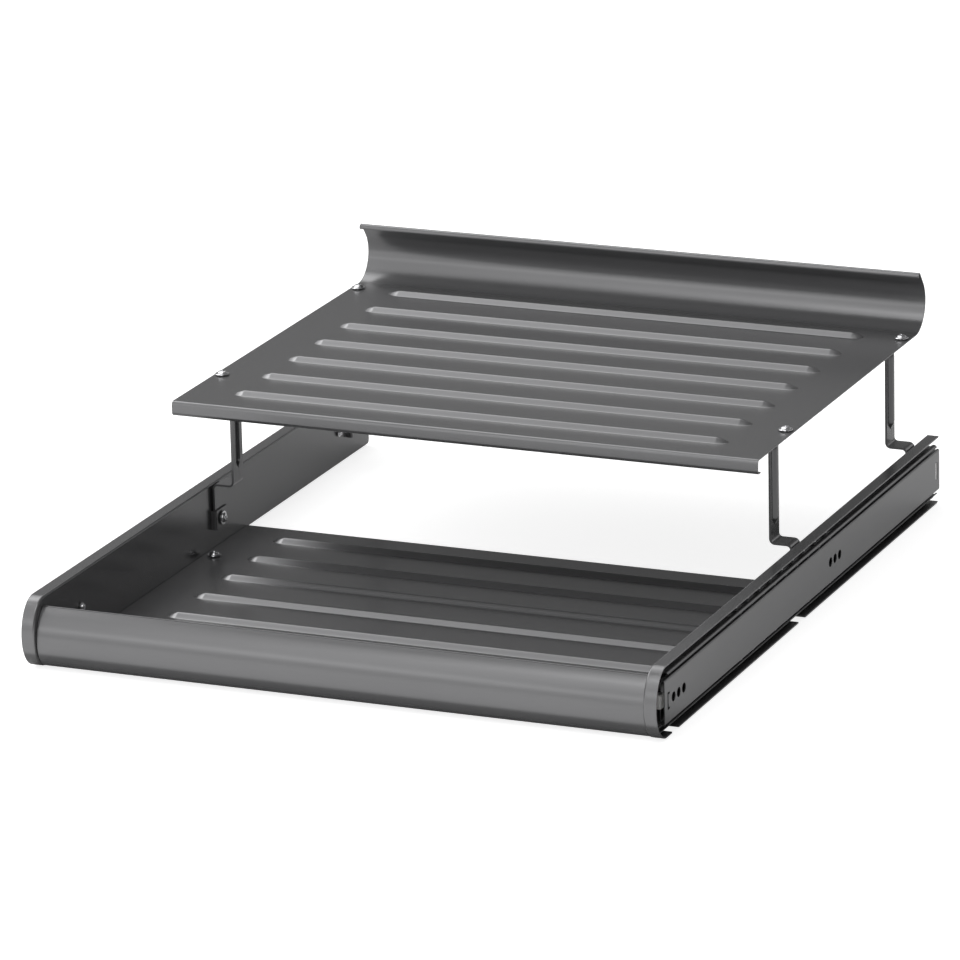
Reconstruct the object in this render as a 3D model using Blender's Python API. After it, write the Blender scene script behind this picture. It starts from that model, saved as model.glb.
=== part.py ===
"""Pull-out shoe rack for a wardrobe: a steel tray on ball bearing runners, with a shoe shelf on four legs.

World frame: metres, +X to the right, +Y to the back, +Z up. The origin is under the middle of the
rack, on the plane of the tray's underside. The runners are shown closed.
"""

import math

import bmesh
import bpy
from mathutils import Matrix, Vector

# Overall sizes: the rack fills a wardrobe frame 464 mm wide inside.
CLEAR_WIDTH = 0.464
DEPTH = 0.565
PANEL_HEIGHT = 0.050
SHELF_TOP = 0.1300

# Clearances that every neighbour uses.
GAP = 0.0003
RUN_GAP = 0.0003
HOLE_PLAY = 0.0003
CUT_OVERRUN = 0.002
MITRE_LIMIT = 0.5

# Side panels: pressed pans whose rim turns outward round top, front and bottom.
PANEL_SHEET = 0.0010
PANEL_INSET = 0.0005
RIM_WIDTH = 0.0095
RIM_BEND = 0.0016
NOSE_DEPTH = 0.019
NOSE_HEIGHT = 0.0262
NOSE_STEPS = 12
REAR_CORNER = 0.0045
NOTCH_PLACES = (0.0285, 0.2693)
NOTCH_LENGTHS = (0.0121, 0.0134)
NOTCH_DEPTH = 0.0072
TAB_REACH = 0.015
TAB_LENGTH = 0.022

# Fascia: the bulged front between the side panels.
FASCIA_SHEET = 0.0009
FASCIA_SETBACK = 0.0027
FASCIA_TOP = 0.0452
FASCIA_NOSE = 0.0245
FASCIA_CURVE = 0.0175
FASCIA_HEAD = 0.007
FASCIA_HEM = 0.006
FASCIA_FOOT = 0.030
FASCIA_HEAD_BEND = 0.0011

# Tray floor: a ribbed sheet that covers the front of the tray.
FLOOR_SHEET = 0.0008
FLOOR_FRONT = 0.0205
FLOOR_DEPTH = 0.3238
FLOOR_RIB_COUNT = 7
FLOOR_RIB_FRONT_MARGIN = 0.0284
FLOOR_RIB_REAR_MARGIN = 0.0278
FLOOR_RIB_SIDE_MARGIN = 0.0362

# Raised ribs, alike on floor and shelf.
RIB_WIDTH = 0.0115
RIB_HEIGHT = 0.0032
RIB_END = 0.0080
RIB_STEPS = 6
RIB_CROWN = 1.3
RIB_TIP_SHARE = 0.04
RIB_END_SHARES = (0.0, 0.35, 0.75, 1.0)

# Shoe shelf: rolled front lip, flat ribbed middle and a tall curl at the back.
SHELF_SHEET = 0.0009
SHELF_SIDE_GAP = 0.0128
SHELF_OVERHANG = 0.0050
SHELF_DEPTH = 0.3470
LIP_RADIUS = 0.00495
LIP_RETURN = 0.0045
LIP_STEPS = 7
CURL_RADIUS = 0.0210
CURL_LEAN = 38.0
CURL_RISE = 0.0109
CURL_STEPS = 9
HEM_RADIUS = 0.0022
HEM_TURN = 170.0
HEM_STEPS = 5
SHELF_RIB_COUNT = 7
SHELF_RIB_FRONT_MARGIN = 0.0325
SHELF_RIB_REAR_MARGIN = 0.0402
SHELF_RIB_SIDE_MARGIN = 0.0324

# Legs: bent strips with a pressed bead, one pair near the front and one near the back.
LEG_WIDTH = 0.0165
LEG_SHEET = 0.0015
LEG_SIDE_INSET = 0.0146
LEG_FRONT_INSET = 0.0718
LEG_REAR_INSET = 0.0349
LEG_TAB_REACH = 0.0155
LEG_KNEE = 0.0498
LEG_BEND = 0.0034
LEG_BEND_STEPS = 3
LEG_BEAD_WIDTH = 0.0088
LEG_BEAD_DEPTH = 0.0017
LEG_BEAD_END = 0.0085
LEG_BEAD_TIP = 0.0060
LEG_BEAD_TIP_SHARE = 0.3
LEG_BEAD_SLOPE_SHARE = 0.7
LEG_BEAD_STEPS = 4
FOOT_END = 0.0176
FOOT_STANDOFF = 0.0012
POCKET_LOW = 0.0162
POCKET_HEIGHT = 0.0140
POCKET_SHEET = 0.0010
POCKET_BEND = 0.0008

# Runner: three nested channels with a row of balls top and bottom between each pair.
RAIL_SHEET = 0.0008
RAIL_FACE_HEIGHT = 0.0310
RUNNER_DROP = 0.0001
BALL_RADIUS = 0.0015
ROW_STEP = 0.0030
TRAY_LIP_ANGLE = 35.0
MIDDLE_LIP_ANGLE = 20.0
RACE_ANGLE = 40.0
CABINET_RAIL_FRONT = 0.0145
MIDDLE_RAIL_FRONT = 0.0230
MIDDLE_RAIL_REAR_INSET = 0.0030
TRAY_RAIL_FRONT = 0.0135
TRAY_RAIL_REAR_INSET = 0.0010
WALL_HOLE_RADIUS = 0.0034
FRONT_HOLE_PLACES = (0.0307, 0.0400, 0.0495)
MIDDLE_HOLE_PLACES = (0.3332, 0.3424, 0.3517)
LANCE_PLACE = 0.0205
LANCE_HEIGHT = 0.0120
LANCE_WIDTH = 0.0022
REAR_SLOT_INSET = 0.0060
REAR_SLOT_HEIGHT = 0.0130
REAR_SLOT_WIDTH = 0.0030
RAIL_EDGE_BEND = 0.0009
CAGE_SHEET = 0.0004
CAGE_START = 0.1500
CAGE_LENGTH = 0.2000
CAGE_HORN = 0.0012
CAGE_FINGER = 0.0005
CAGE_SMOOTH_ANGLE = 60.0
BALL_COUNT = 4
BALL_SEGMENTS = 8
BALL_RINGS = 5
BALL_MARGIN = 0.0120
BUMPER_LENGTH = 0.0070
BUMPER_WIDTH = 0.0043
BUMPER_HEIGHT = 0.0100
BUMPER_EDGE = 0.0010

# Screws: pan heads on a pressed washer, each group in its own bores.
SCREW_RADIUS = 0.0020
SCREW_HEAD_RADIUS = 0.0036
SCREW_HEAD_HEIGHT = 0.0022
SCREW_COLLAR_RADIUS = 0.0051
SCREW_COLLAR_HEIGHT = 0.0007
SCREW_CROWN_SHARES = ((1.0, 0.0), (0.8, 0.75))
SCREW_SIDES = 10
BORE_SIDES = 10
SCREW_SMOOTH_ANGLE = 40.0
MERGE_DISTANCE = 0.00001
SHELF_SCREW_INSET = 0.0054
FLOOR_SCREW_INSET = 0.0086
FLOOR_SCREW_PLACES = (0.0650, 0.2700)
FASCIA_SCREW_PLACE = 0.0340
FASCIA_SCREW_MARGIN = 0.0117
FASCIA_SCREW_COUNT = 4
RAIL_SCREW_FRONT_INSET = 0.0723
RAIL_SCREW_REAR_INSET = 0.0553

# Places that follow from the sizes above.
FRONT = -(DEPTH + SHELF_OVERHANG) / 2
PANEL_EDGE_X = CLEAR_WIDTH / 2 - PANEL_INSET
WEB_INSIDE_X = PANEL_EDGE_X - RIM_WIDTH
WEB_OUTSIDE_X = WEB_INSIDE_X + PANEL_SHEET
RUNNER_Z = PANEL_HEIGHT / 2 - RUNNER_DROP
FLOOR_LOW = PANEL_SHEET + GAP
FLOOR_TOP = FLOOR_LOW + FLOOR_SHEET
TRAY_PLATE_X = WEB_INSIDE_X - GAP
FLOOR_RIB_PITCH = (FLOOR_DEPTH - FLOOR_RIB_FRONT_MARGIN - FLOOR_RIB_REAR_MARGIN) / (FLOOR_RIB_COUNT - 1)
SHELF_WIDTH = CLEAR_WIDTH - 2 * SHELF_SIDE_GAP
SHELF_REAR = DEPTH + SHELF_OVERHANG
SHELF_FRONT = SHELF_REAR - SHELF_DEPTH
SHELF_RIB_PITCH = (SHELF_DEPTH - SHELF_RIB_FRONT_MARGIN - SHELF_RIB_REAR_MARGIN) / (SHELF_RIB_COUNT - 1)
LEG_X = SHELF_WIDTH / 2 - LEG_SIDE_INSET
LEG_PLACES = (SHELF_FRONT + LEG_FRONT_INSET, SHELF_REAR - LEG_REAR_INSET)
RAIL_SCREW_PLACES = (RAIL_SCREW_FRONT_INSET, DEPTH - RAIL_SCREW_REAR_INSET)
FOOT_X = WEB_INSIDE_X - FOOT_STANDOFF - LEG_SHEET / 2
POCKET_MIDDLE = POCKET_LOW + POCKET_HEIGHT / 2
POCKET_X = FOOT_X - LEG_SHEET / 2 - GAP - POCKET_SHEET / 2
SHELF_UNDER = SHELF_TOP - SHELF_SHEET
CURL_PLACE = SHELF_REAR - CURL_RADIUS - SHELF_SHEET
LEG_TAB_Z = SHELF_UNDER - GAP - LEG_SHEET / 2
SHELF_SCREW_X = SHELF_WIDTH / 2 - SHELF_SCREW_INSET
FLOOR_SCREW_X = WEB_INSIDE_X - FLOOR_SCREW_INSET
BORE_RADIUS = SCREW_RADIUS + HOLE_PLAY
RACE_RADIUS = BALL_RADIUS + RUN_GAP + RAIL_SHEET / 2
TRAY_RAIL_X = WEB_OUTSIDE_X + GAP + RAIL_SHEET / 2
OUTER_BALL_X = TRAY_RAIL_X + RACE_RADIUS
INNER_BALL_X = OUTER_BALL_X + ROW_STEP
INNER_BALL_Z = RAIL_FACE_HEIGHT / 2 - RAIL_SHEET / 2 + RACE_RADIUS * math.sin(math.radians(RACE_ANGLE))
OUTER_BALL_Z = INNER_BALL_Z + math.sqrt((2 * RACE_RADIUS) ** 2 - ROW_STEP ** 2)
CABINET_RAIL_X = CLEAR_WIDTH / 2 - RAIL_SHEET / 2
OUTER_CAGE_X = TRAY_RAIL_X + RAIL_SHEET / 2 + RUN_GAP + CAGE_SHEET / 2
MIDDLE_RAIL_X = OUTER_CAGE_X + CAGE_SHEET / 2 + RUN_GAP + RAIL_SHEET / 2
INNER_CAGE_X = MIDDLE_RAIL_X + RAIL_SHEET / 2 + RUN_GAP + CAGE_SHEET / 2
BALL_PITCH = (CAGE_LENGTH - 2 * BALL_MARGIN) / (BALL_COUNT - 1)

# Finishes read from the photograph: colour, metallic and roughness.
FINISHES = {
    "graphite_steel": ((0.16, 0.16, 0.165), 0.75, 0.38),
    "rail_steel": ((0.22, 0.22, 0.225), 0.85, 0.32),
    "bright_zinc": ((0.75, 0.75, 0.76), 1.0, 0.18),
    "white_nylon": ((0.82, 0.82, 0.80), 0.0, 0.45),
}


def clear_scene():
    """Remove the objects that the scene holds."""
    for item in list(bpy.data.objects):
        bpy.data.objects.remove(item, do_unlink=True)


def finish(name):
    """Return the named material, made on first use."""
    if name in bpy.data.materials:
        return bpy.data.materials[name]
    colour, metallic, roughness = FINISHES[name]
    material = bpy.data.materials.new(name)
    material.use_nodes = True
    shader = material.node_tree.nodes["Principled BSDF"]
    shader.inputs["Base Color"].default_value = (*colour, 1.0)
    shader.inputs["Metallic"].default_value = metallic
    shader.inputs["Roughness"].default_value = roughness
    return material


def add_object(name, mesh_builder, finish_name, smooth_angle=35.0):
    """Turn a bmesh into a named object with its finish."""
    mesh = bpy.data.meshes.new(name)
    mesh_builder.to_mesh(mesh)
    mesh_builder.free()
    item = bpy.data.objects.new(name, mesh)
    bpy.context.collection.objects.link(item)
    if finish_name:
        mesh.materials.append(finish(finish_name))
    mesh.shade_smooth()
    mesh.set_sharp_from_angle(angle=math.radians(smooth_angle))
    return item


def mirrored_copy(item, name):
    """Copy an object to the other side of the rack, with the cutter that it may have."""
    mesh = item.data.copy()
    mesh.name = name
    mesh.transform(Matrix.Scale(-1, 4, Vector((1, 0, 0))))
    mesh.flip_normals()
    twin = item.copy()
    twin.name = name
    twin.data = mesh
    bpy.context.collection.objects.link(twin)
    for modifier in twin.modifiers:
        if modifier.type == "BOOLEAN":
            cutter = modifier.object
            modifier.object = mirrored_copy(cutter, cutter.name.replace("right", "left"))
    return twin


def arc(centre, radius, start, end, steps):
    """Points on a circle from one angle to another, in degrees."""
    points = []
    for step in range(steps + 1):
        angle = math.radians(start + (end - start) * step / steps)
        points.append(Vector((centre[0] + radius * math.cos(angle), centre[1] + radius * math.sin(angle))))
    return points


def bent(points, radius, steps=3):
    """Round each inner corner of a path with an arc."""
    points = [Vector(point) for point in points]
    path = [points[0]]
    for before, corner, after in zip(points, points[1:], points[2:]):
        back = (before - corner).normalized()
        ahead = (after - corner).normalized()
        half = back.angle(ahead) / 2
        reach = radius / math.tan(half)
        centre = corner + (back + ahead).normalized() * radius / math.sin(half)
        first = corner + back * reach - centre
        last = corner + ahead * reach - centre
        turn = first.angle_signed(last)
        for step in range(steps + 1):
            spot = Matrix.Rotation(-turn * step / steps, 2) @ first
            path.append(centre + spot)
    path.append(points[-1])
    return path


def strip_outline(path, thickness):
    """Closed outline of a sheet of even thickness that follows a path."""
    path = [Vector(point) for point in path]
    one_side = []
    other_side = []
    for index, point in enumerate(path):
        before = path[max(index - 1, 0)]
        after = path[min(index + 1, len(path) - 1)]
        ahead = (after - point).normalized() if after != point else (point - before).normalized()
        back = (point - before).normalized() if before != point else ahead
        normal = Vector((-back.y - ahead.y, back.x + ahead.x)).normalized()
        width = thickness / 2 / max(normal.dot(Vector((-ahead.y, ahead.x))), MITRE_LIMIT)
        one_side.append(point + normal * width)
        other_side.append(point - normal * width)
    return one_side + other_side[::-1]


def prism(outline, low, high, place):
    """Extrude a closed outline; place(a, b, along) gives the world point."""
    builder = bmesh.new()
    rings = []
    for along in (low, high):
        rings.append([builder.verts.new(place(a, b, along)) for a, b in outline])
    builder.faces.new(rings[0][::-1])
    builder.faces.new(rings[1])
    count = len(outline)
    for index in range(count):
        after = (index + 1) % count
        builder.faces.new((rings[0][index], rings[0][after], rings[1][after], rings[1][index]))
    bmesh.ops.recalc_face_normals(builder, faces=builder.faces)
    return builder


def along_y(a, b, along):
    """Section in X and Z, run along Y."""
    return Vector((a, along, b))


def along_x(a, b, along):
    """Section in Y and Z, run along X."""
    return Vector((along, a, b))


def along_z(a, b, along):
    """Section in X and Y, run along Z."""
    return Vector((a, b, along))


def box(low, high):
    """A plain block between two corners."""
    builder = bmesh.new()
    bmesh.ops.create_cube(builder, size=1)
    middle = (Vector(low) + Vector(high)) / 2
    size = Vector(high) - Vector(low)
    bmesh.ops.scale(builder, vec=size, verts=builder.verts)
    bmesh.ops.translate(builder, vec=middle, verts=builder.verts)
    return builder


def round_bar(centre, radius, length, axis):
    """A round bar centred on a point, along X or Z."""
    builder = bmesh.new()
    bmesh.ops.create_cone(builder, cap_ends=True, segments=BORE_SIDES,
                          radius1=radius, radius2=radius, depth=length)
    if axis == "X":
        quarter_turn = Matrix.Rotation(math.pi / 2, 3, "Y")
        bmesh.ops.rotate(builder, cent=Vector(), matrix=quarter_turn, verts=builder.verts)
    bmesh.ops.translate(builder, vec=Vector(centre), verts=builder.verts)
    return builder


def joined(builders):
    """Put several bmeshes into one."""
    whole = bmesh.new()
    for builder in builders:
        mesh = bpy.data.meshes.new("piece")
        builder.to_mesh(mesh)
        builder.free()
        whole.from_mesh(mesh)
        bpy.data.meshes.remove(mesh)
    return whole


def boolean(item, tool, operation, name):
    """Cut a tool out of an object, or weld it on, as a live modifier."""
    tool_item = add_object(name, tool, None)
    tool_item.hide_render = True
    tool_item.display_type = "WIRE"
    modifier = item.modifiers.new(name, "BOOLEAN")
    modifier.operation = operation
    modifier.solver = "EXACT"
    modifier.object = tool_item


def thicken(item, thickness, offset):
    """Give a surface its sheet thickness."""
    modifier = item.modifiers.new("sheet", "SOLIDIFY")
    modifier.thickness = thickness
    modifier.offset = offset
    modifier.use_even_offset = True


def grid_surface(rows):
    """Surface through rows of points that all have the same count."""
    builder = bmesh.new()
    verts = [[builder.verts.new(point) for point in row] for row in rows]
    for lower, upper in zip(verts, verts[1:]):
        for index in range(len(lower) - 1):
            builder.faces.new((lower[index], lower[index + 1], upper[index + 1], upper[index]))
    return builder


def rib_points(centre, top, share):
    """Points in Y and Z across one rib, which lies flat in the sheet at share 0."""
    half = RIB_WIDTH / 2 * math.sqrt(max(share, RIB_TIP_SHARE))
    points = []
    for step in range(RIB_STEPS + 1):
        angle = math.pi * step / RIB_STEPS
        rise = RIB_HEIGHT * share * max(math.sin(angle), 0) ** RIB_CROWN
        points.append(Vector((centre - half * math.cos(angle), top + rise)))
    return points


def ribbed_rows(reach, half_width, section):
    """Rows of points across a ribbed sheet; section(share) gives the profile with ribs at that height."""
    stations = [(-half_width, 0.0)]
    spans = [(share, 1 - math.sqrt(1 - share)) for share in RIB_END_SHARES]
    for share, span in spans:
        stations.append((-reach + RIB_END * span, share))
    for share, span in spans[::-1]:
        stations.append((reach - RIB_END * span, share))
    stations.append((half_width, 0.0))
    rows = []
    for x, share in stations:
        rows.append([Vector((x, y, z)) for y, z in section(share)])
    return rows


def nose_curve(depth, low, middle, high, back, steps):
    """Front curve in Y and Z, from the top round the front to the bottom, as two quarter ellipses."""
    points = []
    for step in range(steps + 1):
        angle = math.pi / 2 + math.pi * step / steps
        height = (high - middle) if math.sin(angle) > 0 else (middle - low)
        points.append(Vector((back + depth * math.cos(angle), middle + height * math.sin(angle))))
    return points


def side_panels():
    """Pressed side panels: flat web, rolled rim, leg pockets and floor tabs."""
    rear = FRONT + DEPTH
    outline = [Vector((rear, PANEL_HEIGHT))]
    outline += nose_curve(NOSE_DEPTH, 0, NOSE_HEIGHT, PANEL_HEIGHT, FRONT + NOSE_DEPTH, NOSE_STEPS)
    outline.append(Vector((rear, 0)))
    rings = []
    for index, point in enumerate(outline):
        before = outline[max(index - 1, 0)]
        after = outline[min(index + 1, len(outline) - 1)]
        run = (after - before).normalized()
        normal = Vector((run.y, -run.x))
        ring = []
        for turn in arc((WEB_INSIDE_X + RIM_BEND, -RIM_BEND), RIM_BEND, 180, 90, 3):
            spot = point + normal * turn.y
            ring.append(Vector((turn.x, spot.x, spot.y)))
        ring.append(Vector((PANEL_EDGE_X, point.x, point.y)))
        rings.append(ring)
    builder = bmesh.new()
    verts = [[builder.verts.new(point) for point in ring] for ring in rings]
    for lower, upper in zip(verts, verts[1:]):
        for index in range(len(lower) - 1):
            builder.faces.new((lower[index], upper[index], upper[index + 1], lower[index + 1]))
    builder.faces.new([ring[0] for ring in verts][::-1])
    bmesh.ops.recalc_face_normals(builder, faces=builder.faces)
    web = max(builder.faces, key=lambda face: face.calc_area())
    if web.normal.x > 0:
        bmesh.ops.reverse_faces(builder, faces=builder.faces)
    panel = add_object("side_panel_right", builder, "graphite_steel")
    thicken(panel, PANEL_SHEET, -1)

    additions = []
    for place in LEG_PLACES:
        middle = FRONT + place
        half = LEG_WIDTH / 2 + GAP + POCKET_SHEET / 2
        seat_x = WEB_INSIDE_X + PANEL_SHEET / 2
        path = bent(((seat_x, middle - half), (POCKET_X, middle - half), (POCKET_X, middle + half),
                     (seat_x, middle + half)), POCKET_BEND, 2)
        bridge = strip_outline(path, POCKET_SHEET)
        additions.append(prism(bridge, POCKET_LOW, POCKET_LOW + POCKET_HEIGHT, along_z))
    for place in FLOOR_SCREW_PLACES:
        middle = FRONT + place
        additions.append(box((WEB_INSIDE_X - TAB_REACH, middle - TAB_LENGTH / 2, 0),
                             (WEB_INSIDE_X + RIM_BEND, middle + TAB_LENGTH / 2, PANEL_SHEET)))
    boolean(panel, joined(additions), "UNION", "panel_pockets_right")

    cuts = []
    for place, length in zip(NOTCH_PLACES, NOTCH_LENGTHS):
        cuts.append(box((PANEL_EDGE_X - NOTCH_DEPTH, FRONT + place, -CUT_OVERRUN),
                        (PANEL_EDGE_X + CUT_OVERRUN, FRONT + place + length, PANEL_SHEET + CUT_OVERRUN)))
    for place in LEG_PLACES:
        centre = ((POCKET_X + WEB_OUTSIDE_X) / 2, FRONT + place, POCKET_MIDDLE)
        cuts.append(round_bar(centre, BORE_RADIUS, WEB_OUTSIDE_X - POCKET_X + 2 * CUT_OVERRUN, "X"))
    for place in RAIL_SCREW_PLACES:
        centre = (WEB_INSIDE_X, FRONT + place, RUNNER_Z)
        cuts.append(round_bar(centre, BORE_RADIUS, 2 * PANEL_SHEET + CUT_OVERRUN, "X"))
    for place in FLOOR_SCREW_PLACES:
        centre = (FLOOR_SCREW_X, FRONT + place, 0)
        cuts.append(round_bar(centre, BORE_RADIUS, 2 * PANEL_SHEET + CUT_OVERRUN, "Z"))
    cuts.append(rear_corner_cut())
    boolean(panel, joined(cuts), "DIFFERENCE", "panel_cuts_right")
    mirrored_copy(panel, "side_panel_left")


def rear_corner_cut():
    """Tool that rounds the lower rear corner of the web."""
    rear = FRONT + DEPTH
    centre = (rear - REAR_CORNER, REAR_CORNER)
    outline = arc(centre, REAR_CORNER, -90, 0, 5)
    outline += [Vector((rear + CUT_OVERRUN, REAR_CORNER)), Vector((rear + CUT_OVERRUN, -CUT_OVERRUN)),
                Vector((rear - REAR_CORNER, -CUT_OVERRUN))]
    return prism(outline, WEB_INSIDE_X - CUT_OVERRUN, PANEL_EDGE_X + CUT_OVERRUN, along_x)


def fascia():
    """Bulged front sheet with a rolled head and a foot under the floor."""
    back = FRONT + FASCIA_SETBACK + FASCIA_CURVE
    curve = nose_curve(FASCIA_CURVE, FASCIA_SHEET / 2, FASCIA_NOSE, FASCIA_TOP, back, NOSE_STEPS)
    head = Vector((back + FASCIA_HEAD, FASCIA_TOP))
    hem = Vector((head.x, FASCIA_TOP - FASCIA_HEM))
    foot = Vector((back + FASCIA_FOOT, FASCIA_SHEET / 2))
    head_path = bent((hem, head, curve[0]), FASCIA_HEAD_BEND, 3)
    outline = strip_outline(head_path[:-1] + curve + [foot], FASCIA_SHEET)
    front = add_object("fascia", prism(outline, -TRAY_PLATE_X, TRAY_PLATE_X, along_x), "graphite_steel")
    cuts = [round_bar((x, FRONT + FASCIA_SCREW_PLACE, 0), BORE_RADIUS, FASCIA_SHEET + 2 * CUT_OVERRUN, "Z")
            for x in fascia_screw_places()]
    boolean(front, joined(cuts), "DIFFERENCE", "fascia_bores")


def fascia_screw_places():
    """X of the screws that hold the fascia's foot under the floor."""
    reach = TRAY_PLATE_X - FASCIA_SCREW_MARGIN
    pitch = 2 * reach / (FASCIA_SCREW_COUNT - 1)
    return [-reach + pitch * index for index in range(FASCIA_SCREW_COUNT)]


def floor_profile(share):
    """Floor section in Y and Z with its ribs at the given share of their height."""
    front = FRONT + FLOOR_FRONT
    points = [Vector((front, FLOOR_TOP))]
    for index in range(FLOOR_RIB_COUNT):
        points += rib_points(front + FLOOR_RIB_FRONT_MARGIN + FLOOR_RIB_PITCH * index, FLOOR_TOP, share)
    points.append(Vector((front + FLOOR_DEPTH, FLOOR_TOP)))
    return points


def tray_floor():
    """Ribbed floor sheet on the panels' tabs and the fascia's foot."""
    rows = ribbed_rows(TRAY_PLATE_X - FLOOR_RIB_SIDE_MARGIN, TRAY_PLATE_X, floor_profile)
    floor = add_object("tray_floor", grid_surface(rows), "graphite_steel")
    thicken(floor, FLOOR_SHEET, 1)
    cuts = []
    for place in FLOOR_SCREW_PLACES:
        for side in (-1, 1):
            cuts.append(round_bar((side * FLOOR_SCREW_X, FRONT + place, FLOOR_TOP), BORE_RADIUS,
                                  2 * FLOOR_SHEET + CUT_OVERRUN, "Z"))
    for x in fascia_screw_places():
        cuts.append(round_bar((x, FRONT + FASCIA_SCREW_PLACE, FLOOR_TOP), BORE_RADIUS,
                              2 * FLOOR_SHEET + CUT_OVERRUN, "Z"))
    boolean(floor, joined(cuts), "DIFFERENCE", "floor_bores")


def shelf_profile(share):
    """Shelf section in Y and Z with its ribs at the given share of their height."""
    front = FRONT + SHELF_FRONT
    lip = (front + LIP_RADIUS, SHELF_TOP - LIP_RADIUS)
    points = [Vector((lip[0] + LIP_RETURN, lip[1] - LIP_RADIUS))]
    points += arc(lip, LIP_RADIUS, -90, -270, LIP_STEPS)
    for index in range(SHELF_RIB_COUNT):
        points += rib_points(front + SHELF_RIB_FRONT_MARGIN + SHELF_RIB_PITCH * index, SHELF_TOP, share)
    curl = (FRONT + CURL_PLACE, SHELF_TOP + CURL_RADIUS)
    points += arc(curl, CURL_RADIUS, -90, CURL_LEAN, CURL_STEPS)
    lean = math.radians(CURL_LEAN)
    forward = Vector((-math.sin(lean), math.cos(lean)))
    top = points[-1] + forward * CURL_RISE
    hem = top - Vector((math.cos(lean), math.sin(lean))) * HEM_RADIUS
    points += arc(hem, HEM_RADIUS, CURL_LEAN, CURL_LEAN + HEM_TURN, HEM_STEPS)
    return points


def shoe_shelf():
    """Ribbed shoe shelf with bores for its four screws."""
    rows = ribbed_rows(SHELF_WIDTH / 2 - SHELF_RIB_SIDE_MARGIN, SHELF_WIDTH / 2, shelf_profile)
    shelf = add_object("shoe_shelf", grid_surface(rows), "graphite_steel")
    thicken(shelf, SHELF_SHEET, 1)
    cuts = []
    for place in LEG_PLACES:
        for side in (-1, 1):
            cuts.append(round_bar((side * SHELF_SCREW_X, FRONT + place, SHELF_TOP), BORE_RADIUS,
                                  2 * SHELF_SHEET + CUT_OVERRUN, "Z"))
    boolean(shelf, joined(cuts), "DIFFERENCE", "shelf_bores")


def leg_path():
    """Right leg's centre line in X and Z from the top tab to the foot, each point with its bead share."""
    tab = ((LEG_X + LEG_TAB_REACH, LEG_TAB_Z), (LEG_X, LEG_TAB_Z), (LEG_X, LEG_KNEE), (FOOT_X, LEG_KNEE),
           (FOOT_X, FOOT_END))
    path = [(point, 0.0) for point in bent(tab, LEG_BEND, LEG_BEND_STEPS)]
    shank_start = LEG_BEND_STEPS + 2
    bead = []
    top = LEG_TAB_Z - LEG_BEND - LEG_BEAD_TIP
    bottom = LEG_KNEE + LEG_BEND + LEG_BEAD_END
    slope = LEG_BEAD_SLOPE_SHARE
    for z, share in ((top + LEG_BEAD_TIP / 2, 0.0), (top, slope), (top - LEG_BEAD_TIP / 2, 1.0),
                     (bottom + LEG_BEAD_TIP, 1.0), (bottom + LEG_BEAD_TIP / 2, slope), (bottom, 0.0)):
        bead.append((Vector((LEG_X, z)), share))
    return path[:shank_start] + bead + path[shank_start:]


def leg_row(point, share, middle):
    """Points across the strip at one place of its path, with the bead at a share of its depth."""
    half_bead = LEG_BEAD_WIDTH / 2 * max(share, LEG_BEAD_TIP_SHARE)
    row = [Vector((point.x, middle - LEG_WIDTH / 2, point.y))]
    for step in range(LEG_BEAD_STEPS + 1):
        angle = math.pi * step / LEG_BEAD_STEPS
        push = LEG_BEAD_DEPTH * share * math.sin(angle)
        row.append(Vector((point.x + push, middle - half_bead * math.cos(angle), point.y)))
    row.append(Vector((point.x, middle + LEG_WIDTH / 2, point.y)))
    return row


def legs():
    """Four bent legs, each a strip with a bead pressed outward."""
    for place, name in zip(LEG_PLACES, ("leg_front", "leg_rear")):
        middle = FRONT + place
        rows = [leg_row(point, share, middle) for point, share in leg_path()]
        leg = add_object(name + "_right", grid_surface(rows), "graphite_steel")
        thicken(leg, LEG_SHEET, 0)
        cuts = [round_bar((SHELF_SCREW_X, middle, LEG_TAB_Z), BORE_RADIUS, 2 * LEG_SHEET + CUT_OVERRUN, "Z"),
                round_bar((FOOT_X, middle, POCKET_MIDDLE), BORE_RADIUS, 2 * LEG_SHEET + CUT_OVERRUN, "X")]
        boolean(leg, joined(cuts), "DIFFERENCE", name + "_bores_right")
        mirrored_copy(leg, name + "_left")


def both_halves(upper):
    """Whole section path from its upper half, mirrored about the runner's centre line."""
    lower = [Vector((point.x, -point.y)) for point in upper[::-1]]
    return [Vector((x, z + RUNNER_Z)) for x, z in lower + upper]


def race(x, z, start, end, steps=6):
    """Arc of sheet that runs round a row of balls."""
    return arc((x, z), RACE_RADIUS, start, end, steps)


def rail(name, path, front, rear):
    """One runner channel along the whole depth."""
    outline = strip_outline(path, RAIL_SHEET)
    return add_object(name, prism(outline, FRONT + front, FRONT + rear, along_y), "rail_steel")


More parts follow.
